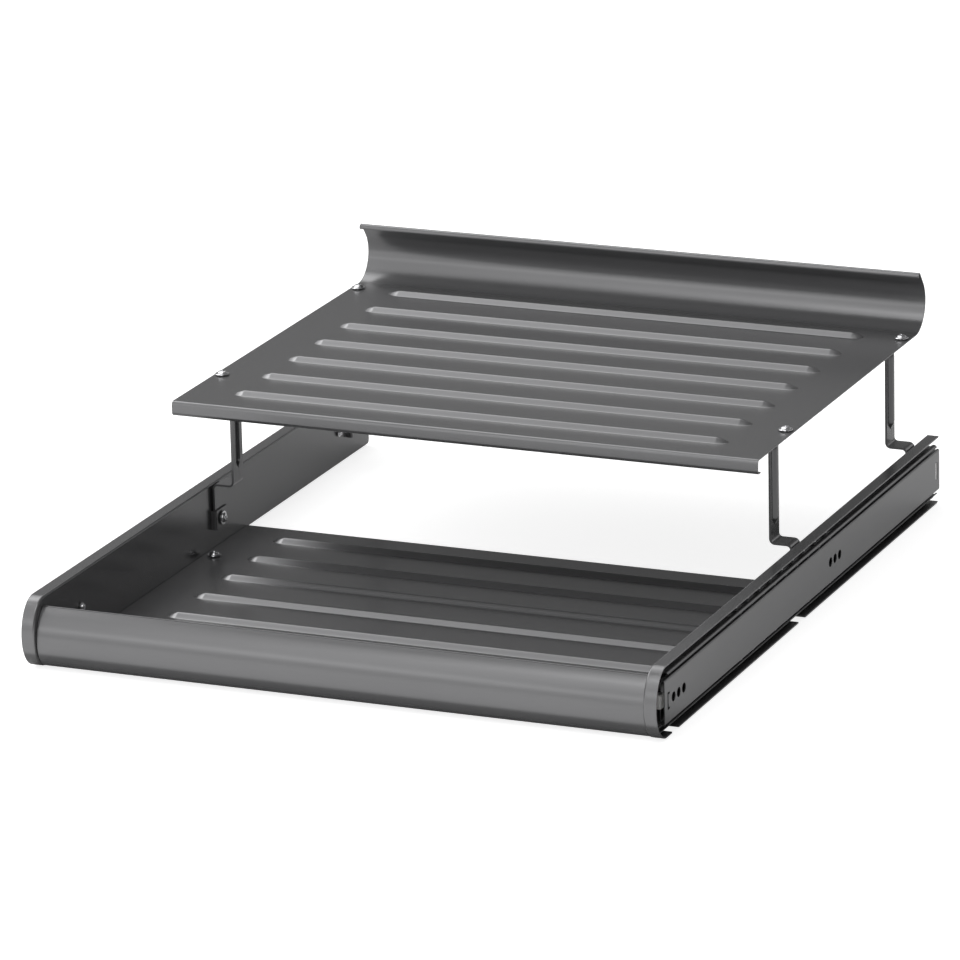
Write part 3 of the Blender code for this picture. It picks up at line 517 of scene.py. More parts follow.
def joined(builders):
    """Several bmeshes as one."""
    whole = bmesh.new()
    for builder in builders:
        mesh = bpy.data.meshes.new("part")
        builder.to_mesh(mesh)
        builder.free()
        whole.from_mesh(mesh)
        bpy.data.meshes.remove(mesh)
    return whole


def weigh_normals(item):
    """Let the large faces set the shading, so that flats look flat beside their bends."""
    plain = item.data
    flatten = item.modifiers.new("flat_faces", "WEIGHTED_NORMAL")
    flatten.keep_sharp = True
    graph = bpy.context.evaluated_depsgraph_get()
    item.data = bpy.data.meshes.new_from_object(item.evaluated_get(graph))
    item.modifiers.clear()
    bpy.data.meshes.remove(plain)
    item.data.name = item.name
    return item


def shaped(name, builder, sheet=0.0, side=-1, welds=(), cuts=(), edge=EDGE_BREAK):
    """Object whose modifiers are baked: sheet thickness, welds, cuts and broken edges."""
    item = loose_object(name, builder)
    tools = []
    if sheet:
        solid = item.modifiers.new("sheet", "SOLIDIFY")
        solid.thickness = sheet
        solid.offset = side
        solid.use_even_offset = True
    for operation, pieces in (("UNION", welds), ("DIFFERENCE", cuts)):
        if pieces:
            tool = loose_object("tool", joined(pieces))
            tools.append(tool)
            change = item.modifiers.new(operation, "BOOLEAN")
            change.operation = operation
            change.solver = "EXACT"
            change.object = tool
    if edge:
        bevel = item.modifiers.new("edges", "BEVEL")
        bevel.width = edge
        bevel.segments = EDGE_SEGMENTS
        bevel.limit_method = "ANGLE"
        bevel.angle_limit = math.radians(EDGE_ANGLE)
        bevel.use_clamp_overlap = True
    graph = bpy.context.evaluated_depsgraph_get()
    baked = bpy.data.meshes.new_from_object(item.evaluated_get(graph))
    item.modifiers.clear()
    item.data = baked
    baked.name = name
    for tool in tools:
        bpy.data.objects.remove(tool)
    baked.shade_smooth()
    baked.set_sharp_from_angle(angle=math.radians(SHADE_ANGLE))
    return weigh_normals(item)


def dress(item, finish, body, node):
    """Give a piece its finish, its body and the CAD node that it stands for."""
    item.data.materials.clear()
    item.data.materials.append(finish)
    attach(item, body)
    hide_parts(node)
    print(item.name, "faces:", len(item.data.polygons))


def mirrored(item, name):
    """Copy of a piece on the other side of the rack."""
    mesh = item.data.copy()
    mesh.name = name
    mesh.attributes.remove(mesh.attributes["custom_normal"])
    mesh.transform(Matrix.Scale(-1, 4, Vector((1, 0, 0))))
    mesh.flip_normals()
    return weigh_normals(placed(name, mesh))


def dress_both(item, finish, body, node):
    """Dress a piece of the right side and its mirror image for the left one."""
    twin = mirrored(item, item.name.replace("right", "left"))
    dress(item, finish, body, node)
    dress(twin, finish, body.replace("right", "left"), node.replace("right", "left"))


# %% [markdown]
# ## Sizes that every piece shares
# The frame gives the outer sizes of each CAD node. What a box can't tell, such as a sheet's thickness
# or a bend, has a name of its own here, in real millimetres.

# %% Read the frame's sizes
FIT_GAP = 0.3 * MM
PANEL_LOW, PANEL_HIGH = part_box("side_panel_right")
FRONT_Y = PANEL_LOW.y
REAR_Y = PANEL_HIGH.y
FLOOR_LOW, FLOOR_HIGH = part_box("tray_floor")
SHELF_LOW, SHELF_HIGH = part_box("shoe_shelf")
ROWS = ("front", "rear")
LEG_BOXES = [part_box("leg_front_right"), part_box("leg_rear_right")]
PANEL_SHEET = 1.0 * MM
WEB_X = FLOOR_HIGH.x + FIT_GAP
WEB_BACK_X = WEB_X + PANEL_SHEET
LEG_SHEET = 1.5 * MM
FOOT_STANDOFF = 1.2 * MM
FOOT_X = WEB_X - FOOT_STANDOFF - LEG_SHEET / 2


def middle_y(node):
    """Y of the middle of a CAD node."""
    low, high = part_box(node)
    return (low.y + high.y) / 2


print("web at x in mm:", round(WEB_X / MM, 1), "shelf top of the curl:", round(SHELF_HIGH.z / MM, 1))

# %% [markdown]
# ## Side panels
# On the real rack each side is one pressed pan. Its rim turns outward round the top, the rounded front
# and the bottom, so the runner sits in the pan's hollow. The front is two quarter ellipses. The rim is
# made by carrying a quarter bend round the panel's outline, which is quicker than bevelling a block
# and gives the true sheet on the runner's side too.

# %% Side panels
NOSE_DEPTH = 19 * MM
NOSE_HEIGHT = 24.2 * MM
NOSE_STEPS = 48
RIM_BEND = 1.6 * MM
RIM_STEPS = 6
REAR_CORNER = 4.5 * MM
CORNER_STEPS = 12
NOTCHES = ((28.5 * MM, 12.1 * MM), (269.3 * MM, 13.4 * MM))
NOTCH_DEPTH = 7.2 * MM
TAB_REACH = 15 * MM
TAB_LENGTH = 22 * MM
POCKET_LOW = 16.2 * MM
POCKET_HEIGHT = 14 * MM
POCKET_SHEET = 1.0 * MM
POCKET_BEND = 0.8 * MM
POCKET_STEPS = 4
POCKET_MIDDLE = POCKET_LOW + POCKET_HEIGHT / 2
POCKET_X = FOOT_X - LEG_SHEET / 2 - FIT_GAP - POCKET_SHEET / 2
POCKET_DRILL = 5 * CUT
SHANK_HOLE = 2.3 * MM


def nose_curve(depth, low, middle, high, back, steps):
    """Front curve in Y and Z, from the top round the front to the bottom."""
    points = []
    for step in range(steps + 1):
        angle = math.pi / 2 + math.pi * step / steps
        reach = (high - middle) if math.sin(angle) > 0 else (middle - low)
        points.append(Vector((back + depth * math.cos(angle), middle + reach * math.sin(angle))))
    return points


def panel_rim():
    """Surface of the web with its rim turned outward."""
    outline = [Vector((REAR_Y, PANEL_HIGH.z))]
    outline += nose_curve(NOSE_DEPTH, 0, NOSE_HEIGHT, PANEL_HIGH.z, FRONT_Y + NOSE_DEPTH, NOSE_STEPS)
    outline.append(Vector((REAR_Y, 0)))
    rings = []
    for index, point in enumerate(outline):
        run = (outline[min(index + 1, len(outline) - 1)] - outline[max(index - 1, 0)]).normalized()
        inward = Vector((run.y, -run.x))
        ring = []
        for turn in arc((WEB_X + RIM_BEND, -RIM_BEND), RIM_BEND, 180, 90, RIM_STEPS):
            spot = point + inward * turn.y
            ring.append(Vector((turn.x, spot.x, spot.y)))
        ring.append(Vector((PANEL_HIGH.x, point.x, point.y)))
        rings.append(ring)
    builder = surface(rings)
    builder.verts.ensure_lookup_table()
    width = len(rings[0])
    builder.faces.new([builder.verts[index * width] for index in range(len(rings))])
    bmesh.ops.recalc_face_normals(builder, faces=builder.faces)
    web = max(builder.faces, key=lambda face: face.calc_area())
    if web.normal.x > 0:
        bmesh.ops.reverse_faces(builder, faces=builder.faces)
    return builder


def pocket(middle):
    """Bridge pressed out of the web that holds a leg's foot."""
    half = LEG_BOXES[0][1].y - LEG_BOXES[0][0].y
    half = half / 2 + FIT_GAP + POCKET_SHEET / 2
    seat = WEB_X + PANEL_SHEET / 2
    path = rounded(((seat, middle - half), (POCKET_X, middle - half), (POCKET_X, middle + half),
                    (seat, middle + half)), POCKET_BEND, POCKET_STEPS)
    return extruded(sheet_outline(path, POCKET_SHEET), POCKET_LOW, POCKET_LOW + POCKET_HEIGHT, "Z")


def tab(middle):
    """Floor tab bent inward from the web's lower edge."""
    return block((WEB_X - TAB_REACH, middle - TAB_LENGTH / 2, 0),
                 (WEB_X + RIM_BEND, middle + TAB_LENGTH / 2, PANEL_SHEET))


def panel_cuts():
    """Notches in the lower rim, screw holes and the rounded lower rear corner."""
    cuts = []
    for place, length in NOTCHES:
        cuts.append(block((PANEL_HIGH.x - NOTCH_DEPTH, FRONT_Y + place, -CUT),
                          (PANEL_HIGH.x + CUT, FRONT_Y + place + length, PANEL_SHEET + CUT)))
    for row in ROWS:
        spot = (WEB_X, middle_y(f"leg_screw_{row}_right"), POCKET_MIDDLE)
        cuts.append(bar(spot, SHANK_HOLE, "X", POCKET_DRILL))
        low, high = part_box(f"rail_screw_{row}_right")
        cuts.append(bar((WEB_X, (low.y + high.y) / 2, (low.z + high.z) / 2), SHANK_HOLE, "X"))
        low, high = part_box(f"floor_screw_{row}_right")
        cuts.append(bar(((low.x + high.x) / 2, (low.y + high.y) / 2, 0), SHANK_HOLE, "Z"))
    corner = arc((REAR_Y - REAR_CORNER, REAR_CORNER), REAR_CORNER, -90, 0, CORNER_STEPS)
    corner += [(REAR_Y + CUT, REAR_CORNER), (REAR_Y + CUT, -CUT), (REAR_Y - REAR_CORNER, -CUT)]
    cuts.append(extruded(corner, WEB_X - CUT, PANEL_HIGH.x + CUT, "X"))
    return cuts


welds = [pocket((low.y + high.y) / 2) for low, high in LEG_BOXES]
welds += [tab(middle_y(f"floor_screw_{row}_right")) for row in ROWS]
right_pan = shaped("side_pan_right", panel_rim(), PANEL_SHEET, -1, welds, panel_cuts())
dress_both(right_pan, POWDER, "tray", "side_panel_right")

# %% [markdown]
# ## Fascia
# The front is one sheet with a bulged section. A wide arc makes the bulge and a tighter one turns it
# under the tray, where it runs on flat as a foot below the floor. The top edge is folded down behind,
# so that no raw edge shows. As the section is the same all along, it is an extruded outline. Both arcs
# were read from the fascia's open left end, where the photograph shows the section.

# %% Fascia
FASCIA_SHEET = 0.9 * MM
FASCIA_LOW, FASCIA_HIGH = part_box("fascia")
FASCIA_SET = 1.0 * MM
FASCIA_NOSE = 21 * MM
FASCIA_BULGE = 27.5 * MM
FASCIA_RISE = 55.0
FASCIA_HEEL = 16 * MM
FASCIA_HEAD = 1.5 * MM
FASCIA_HEM = 6 * MM
FASCIA_BEND = 1.0 * MM
FASCIA_BEND_STEPS = 8
BULGE_STEPS = 40
HEEL_STEPS = 24


def fascia_section():
    """Centre line of the fascia's sheet in Y and Z, from its hem to its foot."""
    half = FASCIA_SHEET / 2
    bulge, heel = FASCIA_BULGE - half, FASCIA_HEEL - half
    centre = Vector((FASCIA_LOW.y + FASCIA_SET + FASCIA_BULGE, FASCIA_NOSE))
    turn = 180 + math.degrees(math.asin((FASCIA_NOSE - half - heel) / (bulge - heel)))
    curve = arc(centre, bulge, 180 - FASCIA_RISE, turn, BULGE_STEPS)
    pivot = centre + (curve[-1] - centre) * (bulge - heel) / bulge
    curve += arc(pivot, heel, turn, 270, HEEL_STEPS)[1:]
    rise = math.radians(FASCIA_RISE)
    head = curve[0] + Vector((math.sin(rise), math.cos(rise))) * FASCIA_HEAD
    top = rounded((head - Vector((0, FASCIA_HEM)), head, curve[0]), FASCIA_BEND, FASCIA_BEND_STEPS)
    return top[:-1] + curve + [Vector((FASCIA_HIGH.y, half))]


def screws(kind):
    """Names of the CAD's screws of one kind."""
    return sorted(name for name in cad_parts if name.startswith(kind))


def upright_holes(nodes, z):
    """Cutters for the screws that stand in a sheet."""
    cuts = []
    for node in nodes:
        low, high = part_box(node)
        cuts.append(bar(((low.x + high.x) / 2, (low.y + high.y) / 2, z), SHANK_HOLE, "Z"))
    return cuts


outline = sheet_outline(fascia_section(), FASCIA_SHEET)
front = shaped("bulged_fascia", extruded(outline, FASCIA_LOW.x, FASCIA_HIGH.x, "X"),
               cuts=upright_holes(screws("fascia_screw"), 0))
dress(front, POWDER, "tray", "fascia")

# %% [markdown]
# ## Ribbed sheets
# Floor and shelf are stiffened by ribs that the press raises from below. Each rib has a rounded
# crown, straight slopes and a rounded foot, and its ends sink into the sheet. The sheet is built as
# rings across its section from left to right, and each ring knows how high its ribs stand, from
# nothing at the ends to the full height along the middle. A bump in the material would look flat from
# the side and cast no shadow, so the ribs are real.

# %% Rows across a ribbed sheet
RIB_WIDTH = 12.4 * MM
RIB_HEIGHT = 3.2 * MM
RIB_END = 9 * MM
RIB_END_START = 0.62
RIB_CROWN = 0.26
RIB_FOOT = 0.22
RIB_TIP_SHARE = 0.12
RIB_END_STEPS = 14


def ramp(out, crown, foot):
    """Height of a straight slope from 1 at out 0 down to 0 at out 1, rounded over crown and foot."""
    steepness = 1 / (1 - (crown + foot) / 2)
    if out < crown:
        return 1 - steepness * out ** 2 / (2 * crown)
    if out > 1 - foot:
        return steepness * (1 - out) ** 2 / (2 * foot)
    return 1 - steepness * (out - crown / 2)


RIB_STATIONS = [0, RIB_CROWN / 3, RIB_CROWN * 2 / 3, RIB_CROWN, 0.5, 1 - RIB_FOOT, 1 - RIB_FOOT / 2, 1]


def rib(centre, top, step_in):
    """Points in Y and Z across one rib; step_in runs from 0 at its tip to 1 where its end is over."""
    out = 1 - step_in
    share = 1 - RIB_END_START * out - (1 - RIB_END_START) * out ** 3
    half = RIB_WIDTH / 2 * max(math.sqrt(1 - out ** 2), RIB_TIP_SHARE)
    sides = [-out for out in RIB_STATIONS[:0:-1]] + RIB_STATIONS
    return [
        Vector((centre + half * side, top + RIB_HEIGHT * share * ramp(abs(side), RIB_CROWN, RIB_FOOT)))
        for side in sides
    ]


def ribs(first, last, count, top, step_in):
    """Points across evenly spaced ribs from the first one's middle to the last one's."""
    pitch = (last - first) / (count - 1)
    return [point for index in range(count) for point in rib(first + pitch * index, top, step_in)]


def ribbed_sheet(reach, half_width, profile, sheet):
    """Solid sheet across the rack; profile(step_in) gives the section that far into the ribs' ends."""
    ends = [1 - math.cos(math.pi / 2 * step / RIB_END_STEPS) for step in range(RIB_END_STEPS + 1)]
    stations = [(-reach + RIB_END * step_in, step_in) for step_in in ends]
    stations += [(-x, step_in) for x, step_in in stations[::-1]]
    stations = [(-half_width, 0.0)] + stations + [(half_width, 0.0)]
    plain = profile(0.0)
    outline = sheet_outline(plain, 2 * sheet)
    inward = [below - point for point, below in zip(plain, outline[:len(plain) - 1:-1])]
    rings = []
    for x, step_in in stations:
        section = profile(step_in)
        below = [point + step for point, step in zip(section, inward)]
        rings.append([Vector((x, y, z)) for y, z in section + below[::-1]])
    return lofted(rings)


print("points across one rib:", len(rib(0, 0, 1)))

# %% Tray floor
FLOOR_SHEET = 0.8 * MM
FLOOR_TOP = PANEL_SHEET + FIT_GAP + FLOOR_SHEET
FLOOR_RIBS = 7
FLOOR_RIB_FRONT = 28.4 * MM
FLOOR_RIB_REAR = 27.8 * MM
FLOOR_RIB_SIDE = 33.6 * MM


def floor_profile(step_in):
    """Floor section from front to rear."""
    row = ribs(FLOOR_LOW.y + FLOOR_RIB_FRONT, FLOOR_HIGH.y - FLOOR_RIB_REAR, FLOOR_RIBS, FLOOR_TOP,
               step_in)
    return [Vector((FLOOR_LOW.y, FLOOR_TOP)), *row, Vector((FLOOR_HIGH.y, FLOOR_TOP))]


ribbed = ribbed_sheet(FLOOR_HIGH.x - FLOOR_RIB_SIDE, FLOOR_HIGH.x, floor_profile, FLOOR_SHEET)
bores = upright_holes(screws("floor_screw") + screws("fascia_screw"), FLOOR_TOP)
floor_sheet = shaped("ribbed_floor", ribbed, cuts=bores)
dress(floor_sheet, POWDER, "tray", "tray_floor")

# %% [markdown]
# ## Shoe shelf
# The shelf is one sheet as well. Its front edge is rolled under, so nobody meets a raw edge, and its
# back stands up in a curl that stops the shoes. The curl ends in a small rolled hem.

# %% Shoe shelf
SHELF_SHEET = 0.9 * MM
SHELF_TOP = LEG_BOXES[0][1].z + FIT_GAP + SHELF_SHEET
LIP_HEIGHT = 10.7 * MM
LIP_BEND = 2.8 * MM
LIP_RETURN = 5.4 * MM
LIP_STEPS = 10
CURL_RADIUS = 21 * MM
CURL_LEAN = 38.0
CURL_RISE = 10.9 * MM
CURL_STEPS = 36
HEM_RADIUS = 1.6 * MM
HEM_TURN = 170.0
HEM_STEPS = 14
SHELF_RIBS = 7
SHELF_SPREAD = 0.9 * MM
SHELF_RIB_FRONT = 32.5 * MM
SHELF_RIB_REAR = 40.2 * MM
SHELF_RIB_SIDE = 32.4 * MM


def shelf_profile(step_in):
    """Shelf section from the rolled lip over the ribs and up the curl."""
    lip = ((SHELF_LOW.y + LIP_RETURN, SHELF_TOP - LIP_HEIGHT), (SHELF_LOW.y, SHELF_TOP - LIP_HEIGHT),
           (SHELF_LOW.y, SHELF_TOP), (SHELF_LOW.y + 2 * LIP_HEIGHT, SHELF_TOP))
    points = rounded(lip, LIP_BEND, LIP_STEPS)[:-1]
    points += ribs(SHELF_LOW.y + SHELF_RIB_FRONT, SHELF_HIGH.y - SHELF_RIB_REAR, SHELF_RIBS, SHELF_TOP,
                   step_in)
    curl = (SHELF_HIGH.y - SHELF_SHEET - CURL_RADIUS, SHELF_TOP + CURL_RADIUS)
    points += arc(curl, CURL_RADIUS, -90, CURL_LEAN, CURL_STEPS)
    lean = math.radians(CURL_LEAN)
    top = points[-1] + Vector((-math.sin(lean), math.cos(lean))) * CURL_RISE
    hem = top - Vector((math.cos(lean), math.sin(lean))) * HEM_RADIUS
    return points + arc(hem, HEM_RADIUS, CURL_LEAN, CURL_LEAN + HEM_TURN, HEM_STEPS)


ribbed = ribbed_sheet(SHELF_HIGH.x - SHELF_RIB_SIDE, SHELF_HIGH.x + SHELF_SPREAD, shelf_profile,
                      SHELF_SHEET)
shelf = shaped("ribbed_shelf", ribbed, cuts=upright_holes(screws("shelf_screw"), SHELF_TOP))
dress(shelf, POWDER, "tray", "shoe_shelf")

# %% [markdown]
# ## Legs
# Each leg is a strip bent twice: a tab under the shelf, a shank, a knee and a foot that drops into
# the pressed pocket. A bead pressed into the shank keeps it stiff. The strip's centre line is walked
# from tab to foot, and each place on it knows how deep the bead is there.

# %% Legs
LEG_X = LEG_BOXES[0][0].x + LEG_SHEET / 2
LEG_TAB_Z = LEG_BOXES[0][1].z - LEG_SHEET / 2
LEG_TAB_REACH = 12.6 * MM
LEG_KNEE = 49.8 * MM
LEG_BEND = 3.4 * MM
LEG_BEND_STEPS = 8
SHELF_SCREW_INSET = 5.4 * MM
BEAD_WIDTH = 8.4 * MM
BEAD_DEPTH = 2.6 * MM
BEAD_END = 8.5 * MM
BEAD_TIP = 6 * MM
BEAD_TIP_SHARE = 0.3
BEAD_TIP_STEPS = 5
BEAD_STEPS = 10


def leg_line():
    """Centre line in X and Z from the tab to the foot, each point with its bead share."""
    corners = ((LEG_X + LEG_TAB_REACH, LEG_TAB_Z), (LEG_X, LEG_TAB_Z), (LEG_X, LEG_KNEE),
               (FOOT_X, LEG_KNEE), (FOOT_X, LEG_BOXES[0][0].z))
    path = [(point, 0.0) for point in rounded(corners, LEG_BEND, LEG_BEND_STEPS)]
    top = LEG_TAB_Z - LEG_BEND - BEAD_TIP / 2
    bottom = LEG_KNEE + LEG_BEND + BEAD_END
    shares = [math.sin(math.pi / 2 * step / BEAD_TIP_STEPS) for step in range(BEAD_TIP_STEPS + 1)]
    bead = [(Vector((LEG_X, top - BEAD_TIP * step / BEAD_TIP_STEPS)), share)
            for step, share in enumerate(shares)]
    bead += [(Vector((LEG_X, bottom + BEAD_TIP * step / BEAD_TIP_STEPS)), share)
             for step, share in reversed(list(enumerate(shares)))]
    first_bend = LEG_BEND_STEPS + 2
    return path[:first_bend] + bead + path[first_bend:]


def leg_row(point, share, middle, width):
    """Points across the strip with the bead at a share of its depth."""
    half = BEAD_WIDTH / 2 * max(share, BEAD_TIP_SHARE)
    row = [Vector((point.x, middle - width / 2, point.y))]
    for step in range(BEAD_STEPS + 1):
        angle = math.pi * step / BEAD_STEPS
        row.append(Vector((point.x + BEAD_DEPTH * share * math.sin(angle),
                           middle - half * math.cos(angle), point.y)))
    row.append(Vector((point.x, middle + width / 2, point.y)))
    return row


for row, (low, high) in zip(ROWS, LEG_BOXES):
    middle = (low.y + high.y) / 2
    strip = surface([leg_row(point, share, middle, high.y - low.y) for point, share in leg_line()])
    cuts = [bar((SHELF_HIGH.x - SHELF_SCREW_INSET, middle, LEG_TAB_Z), SHANK_HOLE, "Z"),
            bar((FOOT_X, middle, POCKET_MIDDLE), SHANK_HOLE, "X")]
    right_leg = shaped(f"bent_leg_{row}_right", strip, LEG_SHEET, 0, cuts=cuts)
    dress_both(right_leg, POWDER, "tray", f"leg_{row}_right")

# %% [markdown]
# ## Screws
# Pan heads with a pressed washer and a cross recess hold the rack together. A screw is a turned part,
# so its profile is spun round its axis, and the recess is cut with one tapered cross. The screws of
# the rails have smaller heads. Every screw is placed where the CAD has one, head up in the floor and
# the shelf, head inward in the side panels.

# %% Screws
SCREW_RADIUS = 2.0 * MM
HEAD_RADIUS = 3.6 * MM
HEAD_HEIGHT = 1.7 * MM
HEAD_FILLET = 0.15 * MM
HEAD_ROUND = 0.55
HEAD_ARC = (4, 89)
HEAD_STEPS = 12
COLLAR_RADIUS = 5.1 * MM
COLLAR_HEIGHT = 0.7 * MM
COLLAR_UNDER = 0.2 * MM
COLLAR_OVER = 0.25 * MM
RECESS_WIDTH = 1.0 * MM
RECESS_REACH = 2.1 * MM
RECESS_DEPTH = 1.3 * MM
SCREW_TURNS = 40
RAIL_HEAD = 0.66
THREAD_PITCH = 0.9 * MM
THREAD_DEPTH = 0.15 * MM
THREAD_ROOT = 0.96


def turned(profile):
    """Spin a profile of radius and height round the Z axis."""
    angles = [2 * math.pi * step / SCREW_TURNS for step in range(SCREW_TURNS)]
    return lofted([[Vector((radius * math.cos(angle), radius * math.sin(angle), height))
                    for angle in angles] for radius, height in profile])


def screw_builder(length, share):
    """Screw with its tip at the origin and its head up; share is the size of its head."""
    collar, head = COLLAR_RADIUS * share, HEAD_RADIUS * share
    crown = length + COLLAR_HEIGHT
    profile = [(SCREW_RADIUS - THREAD_DEPTH, 0)]
    count = max(int(length / THREAD_PITCH), 1)
    for index in range(count):
        base = length * index / count
        profile.append((SCREW_RADIUS, base + length / count / 2))
        profile.append((SCREW_RADIUS - THREAD_DEPTH, base + length / count * THREAD_ROOT))
    profile += [(SCREW_RADIUS - THREAD_DEPTH, length), (collar - COLLAR_UNDER, length),
                (collar, length + COLLAR_UNDER), (collar, crown - COLLAR_OVER),
                (collar - COLLAR_OVER, crown), (head + HEAD_FILLET, crown)]
    profile += [(head * turn.x ** HEAD_ROUND, crown + HEAD_HEIGHT * turn.y)
                for turn in arc((0, 0), 1, *HEAD_ARC, HEAD_STEPS)]
    return turned(profile)


def recess(top, share):
    """Tapered cross for the screwdriver."""
    rings = []
    wide, thick = RECESS_REACH * share, RECESS_WIDTH * share
    for reach, width, z in ((wide, thick, top + CUT), (wide, thick, top),
                            (wide / 2, thick / 2, top - RECESS_DEPTH)):
        half = width / 2
        ring = []
        for turn in range(4):
            spin = Matrix.Rotation(math.pi / 4 + math.pi / 2 * turn, 2)
            ring += [spin @ Vector(spot) for spot in ((reach, -half), (reach, half), (half, half))]
        rings.append([Vector((x, y, z)) for x, y in ring])
    return lofted(rings)


def head_direction(node):
    """Direction from a screw's tip to its head, from its name and its side."""
    low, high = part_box(node)
    if node.startswith(("leg_screw", "rail_screw")):
        return Vector((-math.copysign(1, low.x), 0, 0))
    return Vector((0, 0, 1))


screw_meshes = {}
for node in sorted(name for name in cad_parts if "_screw_" in name):
    low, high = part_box(node)
    toward = head_direction(node)
    length = abs((high - low).dot(toward))
    share = RAIL_HEAD if node.startswith("rail_screw") else 1
    key = (round(length / MM, 2), share)
    if key not in screw_meshes:
        shank = length - HEAD_HEIGHT - COLLAR_HEIGHT
        first = shaped(f"screw_{len(screw_meshes)}", screw_builder(shank, share),
                       cuts=[recess(length, share)], edge=0)
        screw_meshes[key] = first.data
        bpy.data.objects.remove(first)
    item = placed("pan_head_" + node, screw_meshes[key])
    item.location = (low + high) / 2 - toward * length / 2
    item.rotation_euler = toward.to_track_quat("Z", "Y").to_euler()
    bpy.context.view_layer.update()
    dress(item, BRIGHT_ZINC, "tray", node)

# %% [markdown]
# ## Ball bearing runners
# A full extension runner is three nested channels. Each lip curls round the row of balls between it
# and its neighbour, top and bottom. All sections are drawn from the places of the balls: a race is an
# arc round a row of balls, at the same radius in every rail, and the flats join the races.

# %% Runner sections
RAIL_SHEET = 0.8 * MM
RUN_GAP = 0.3 * MM
BALL_RADIUS = 1.5 * MM
ROW_STEP = 3 * MM
TRAY_LIP = 35.0
MIDDLE_LIP = 20.0
RACE_TURN = 40.0
FLANGE_STEPS = 14
EDGE_BEND = 0.9 * MM
EDGE_STEPS = 8
RAIL_EDGE = 0.12 * MM
CAGE_SHEET = 0.4 * MM
RACE_STEPS = 18
SHORT_RACE_STEPS = 8
CABINET_LOW, CABINET_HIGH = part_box("cabinet_rail_right")
RUNNER_Z = (CABINET_LOW.z + CABINET_HIGH.z) / 2
FACE_HALF = (CABINET_HIGH.z - CABINET_LOW.z) / 2
RACE_RADIUS = BALL_RADIUS + RUN_GAP + RAIL_SHEET / 2
TRAY_RAIL_X = WEB_BACK_X + FIT_GAP + RAIL_SHEET / 2
OUTER_BALL_X = TRAY_RAIL_X + RACE_RADIUS
INNER_BALL_X = OUTER_BALL_X + ROW_STEP
INNER_BALL_Z = FACE_HALF - RAIL_SHEET / 2 + RACE_RADIUS * math.sin(math.radians(RACE_TURN))
OUTER_BALL_Z = INNER_BALL_Z + math.sqrt((2 * RACE_RADIUS) ** 2 - ROW_STEP ** 2)
CABINET_X = CABINET_HIGH.x - RAIL_SHEET / 2
OUTER_CAGE_X = TRAY_RAIL_X + RAIL_SHEET / 2 + RUN_GAP + CAGE_SHEET / 2
MIDDLE_X = OUTER_CAGE_X + CAGE_SHEET / 2 + RUN_GAP + RAIL_SHEET / 2
INNER_CAGE_X = MIDDLE_X + RAIL_SHEET / 2 + RUN_GAP + CAGE_SHEET / 2


def both_halves(upper):
    """Whole section from its upper half."""
    lower = [Vector((point.x, -point.y)) for point in upper[::-1]]
    return [Vector((x, z + RUNNER_Z)) for x, z in lower + upper]


def race(x, z, start, end, steps=RACE_STEPS):
    """Arc of sheet that runs round a row of balls."""
    return arc((x, z), RACE_RADIUS, start, end, steps)


def rail(name, upper, node, cuts=()):
    """One channel along the length of its CAD node."""
    low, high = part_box(node)
    outline = sheet_outline(both_halves(upper), RAIL_SHEET)
    return shaped(name, extruded(outline, low.y, high.y, "Y"), cuts=cuts, edge=RAIL_EDGE)


print("rows of balls at x in mm:", round(OUTER_BALL_X / MM, 2), round(INNER_BALL_X / MM, 2))

# %% Tray rails and middle rails
tray_upper = race(OUTER_BALL_X, OUTER_BALL_Z, 180, TRAY_LIP)
tray_bores = [bar((TRAY_RAIL_X, middle_y(f"rail_screw_{row}_right"), RUNNER_Z), SHANK_HOLE, "X")
              for row in ROWS]
right_rail = rail("tray_channel_right", tray_upper, "tray_rail_right", tray_bores)
dress_both(right_rail, RUNNER_STEEL, "tray", "tray_rail_right")

between = math.degrees(math.atan2(INNER_BALL_Z - OUTER_BALL_Z, ROW_STEP))
start = -90 - math.degrees(math.asin((OUTER_BALL_X - MIDDLE_X) / RACE_RADIUS))
middle_upper = race(OUTER_BALL_X, OUTER_BALL_Z, start, between, SHORT_RACE_STEPS)
middle_upper += race(INNER_BALL_X, INNER_BALL_Z, between + 180, MIDDLE_LIP)[1:]
right_middle = rail("middle_channel_right", middle_upper, "middle_rail_right")
dress_both(right_middle, RUNNER_STEEL, "middle_right", "middle_rail_right")

# %% Cabinet rails
HOLE_RADIUS = 3.4 * MM
HOLE_PLACES = [place * MM for place in (30.7, 40.0, 49.5, 333.2, 342.4, 351.7)]
LANCE_PLACE = 19.7 * MM
LANCE_SIZE = (1.6 * MM, 12 * MM)
LANCE_ARM = 4 * MM
SLOT_INSET = 6 * MM
SLOT_SIZE = (3 * MM, 13 * MM)

flange = race(INNER_BALL_X, INNER_BALL_Z, RACE_TURN - 180, -RACE_TURN, FLANGE_STEPS)
corner = Vector((CABINET_X, FACE_HALF - RAIL_SHEET / 2))
bend = rounded((flange[-1], corner, Vector((CABINET_X, 0))), EDGE_BEND, EDGE_STEPS)[1:-1]
cabinet_cuts = [bar((CABINET_X, FRONT_Y + place, RUNNER_Z), HOLE_RADIUS, "X") for place in HOLE_PLACES]
y, tall, slit = FRONT_Y + LANCE_PLACE, LANCE_SIZE[1] / 2, LANCE_SIZE[0]
bracket = [(y, -tall), (y + LANCE_ARM, -tall), (y + LANCE_ARM, slit - tall), (y + slit, slit - tall),
           (y + slit, tall - slit), (y + LANCE_ARM, tall - slit), (y + LANCE_ARM, tall), (y, tall)]
cabinet_cuts.append(extruded([(place, RUNNER_Z + rise) for place, rise in bracket], CABINET_X - CUT / 2,
                             CABINET_X + CUT / 2, "X"))
y = REAR_Y - SLOT_INSET
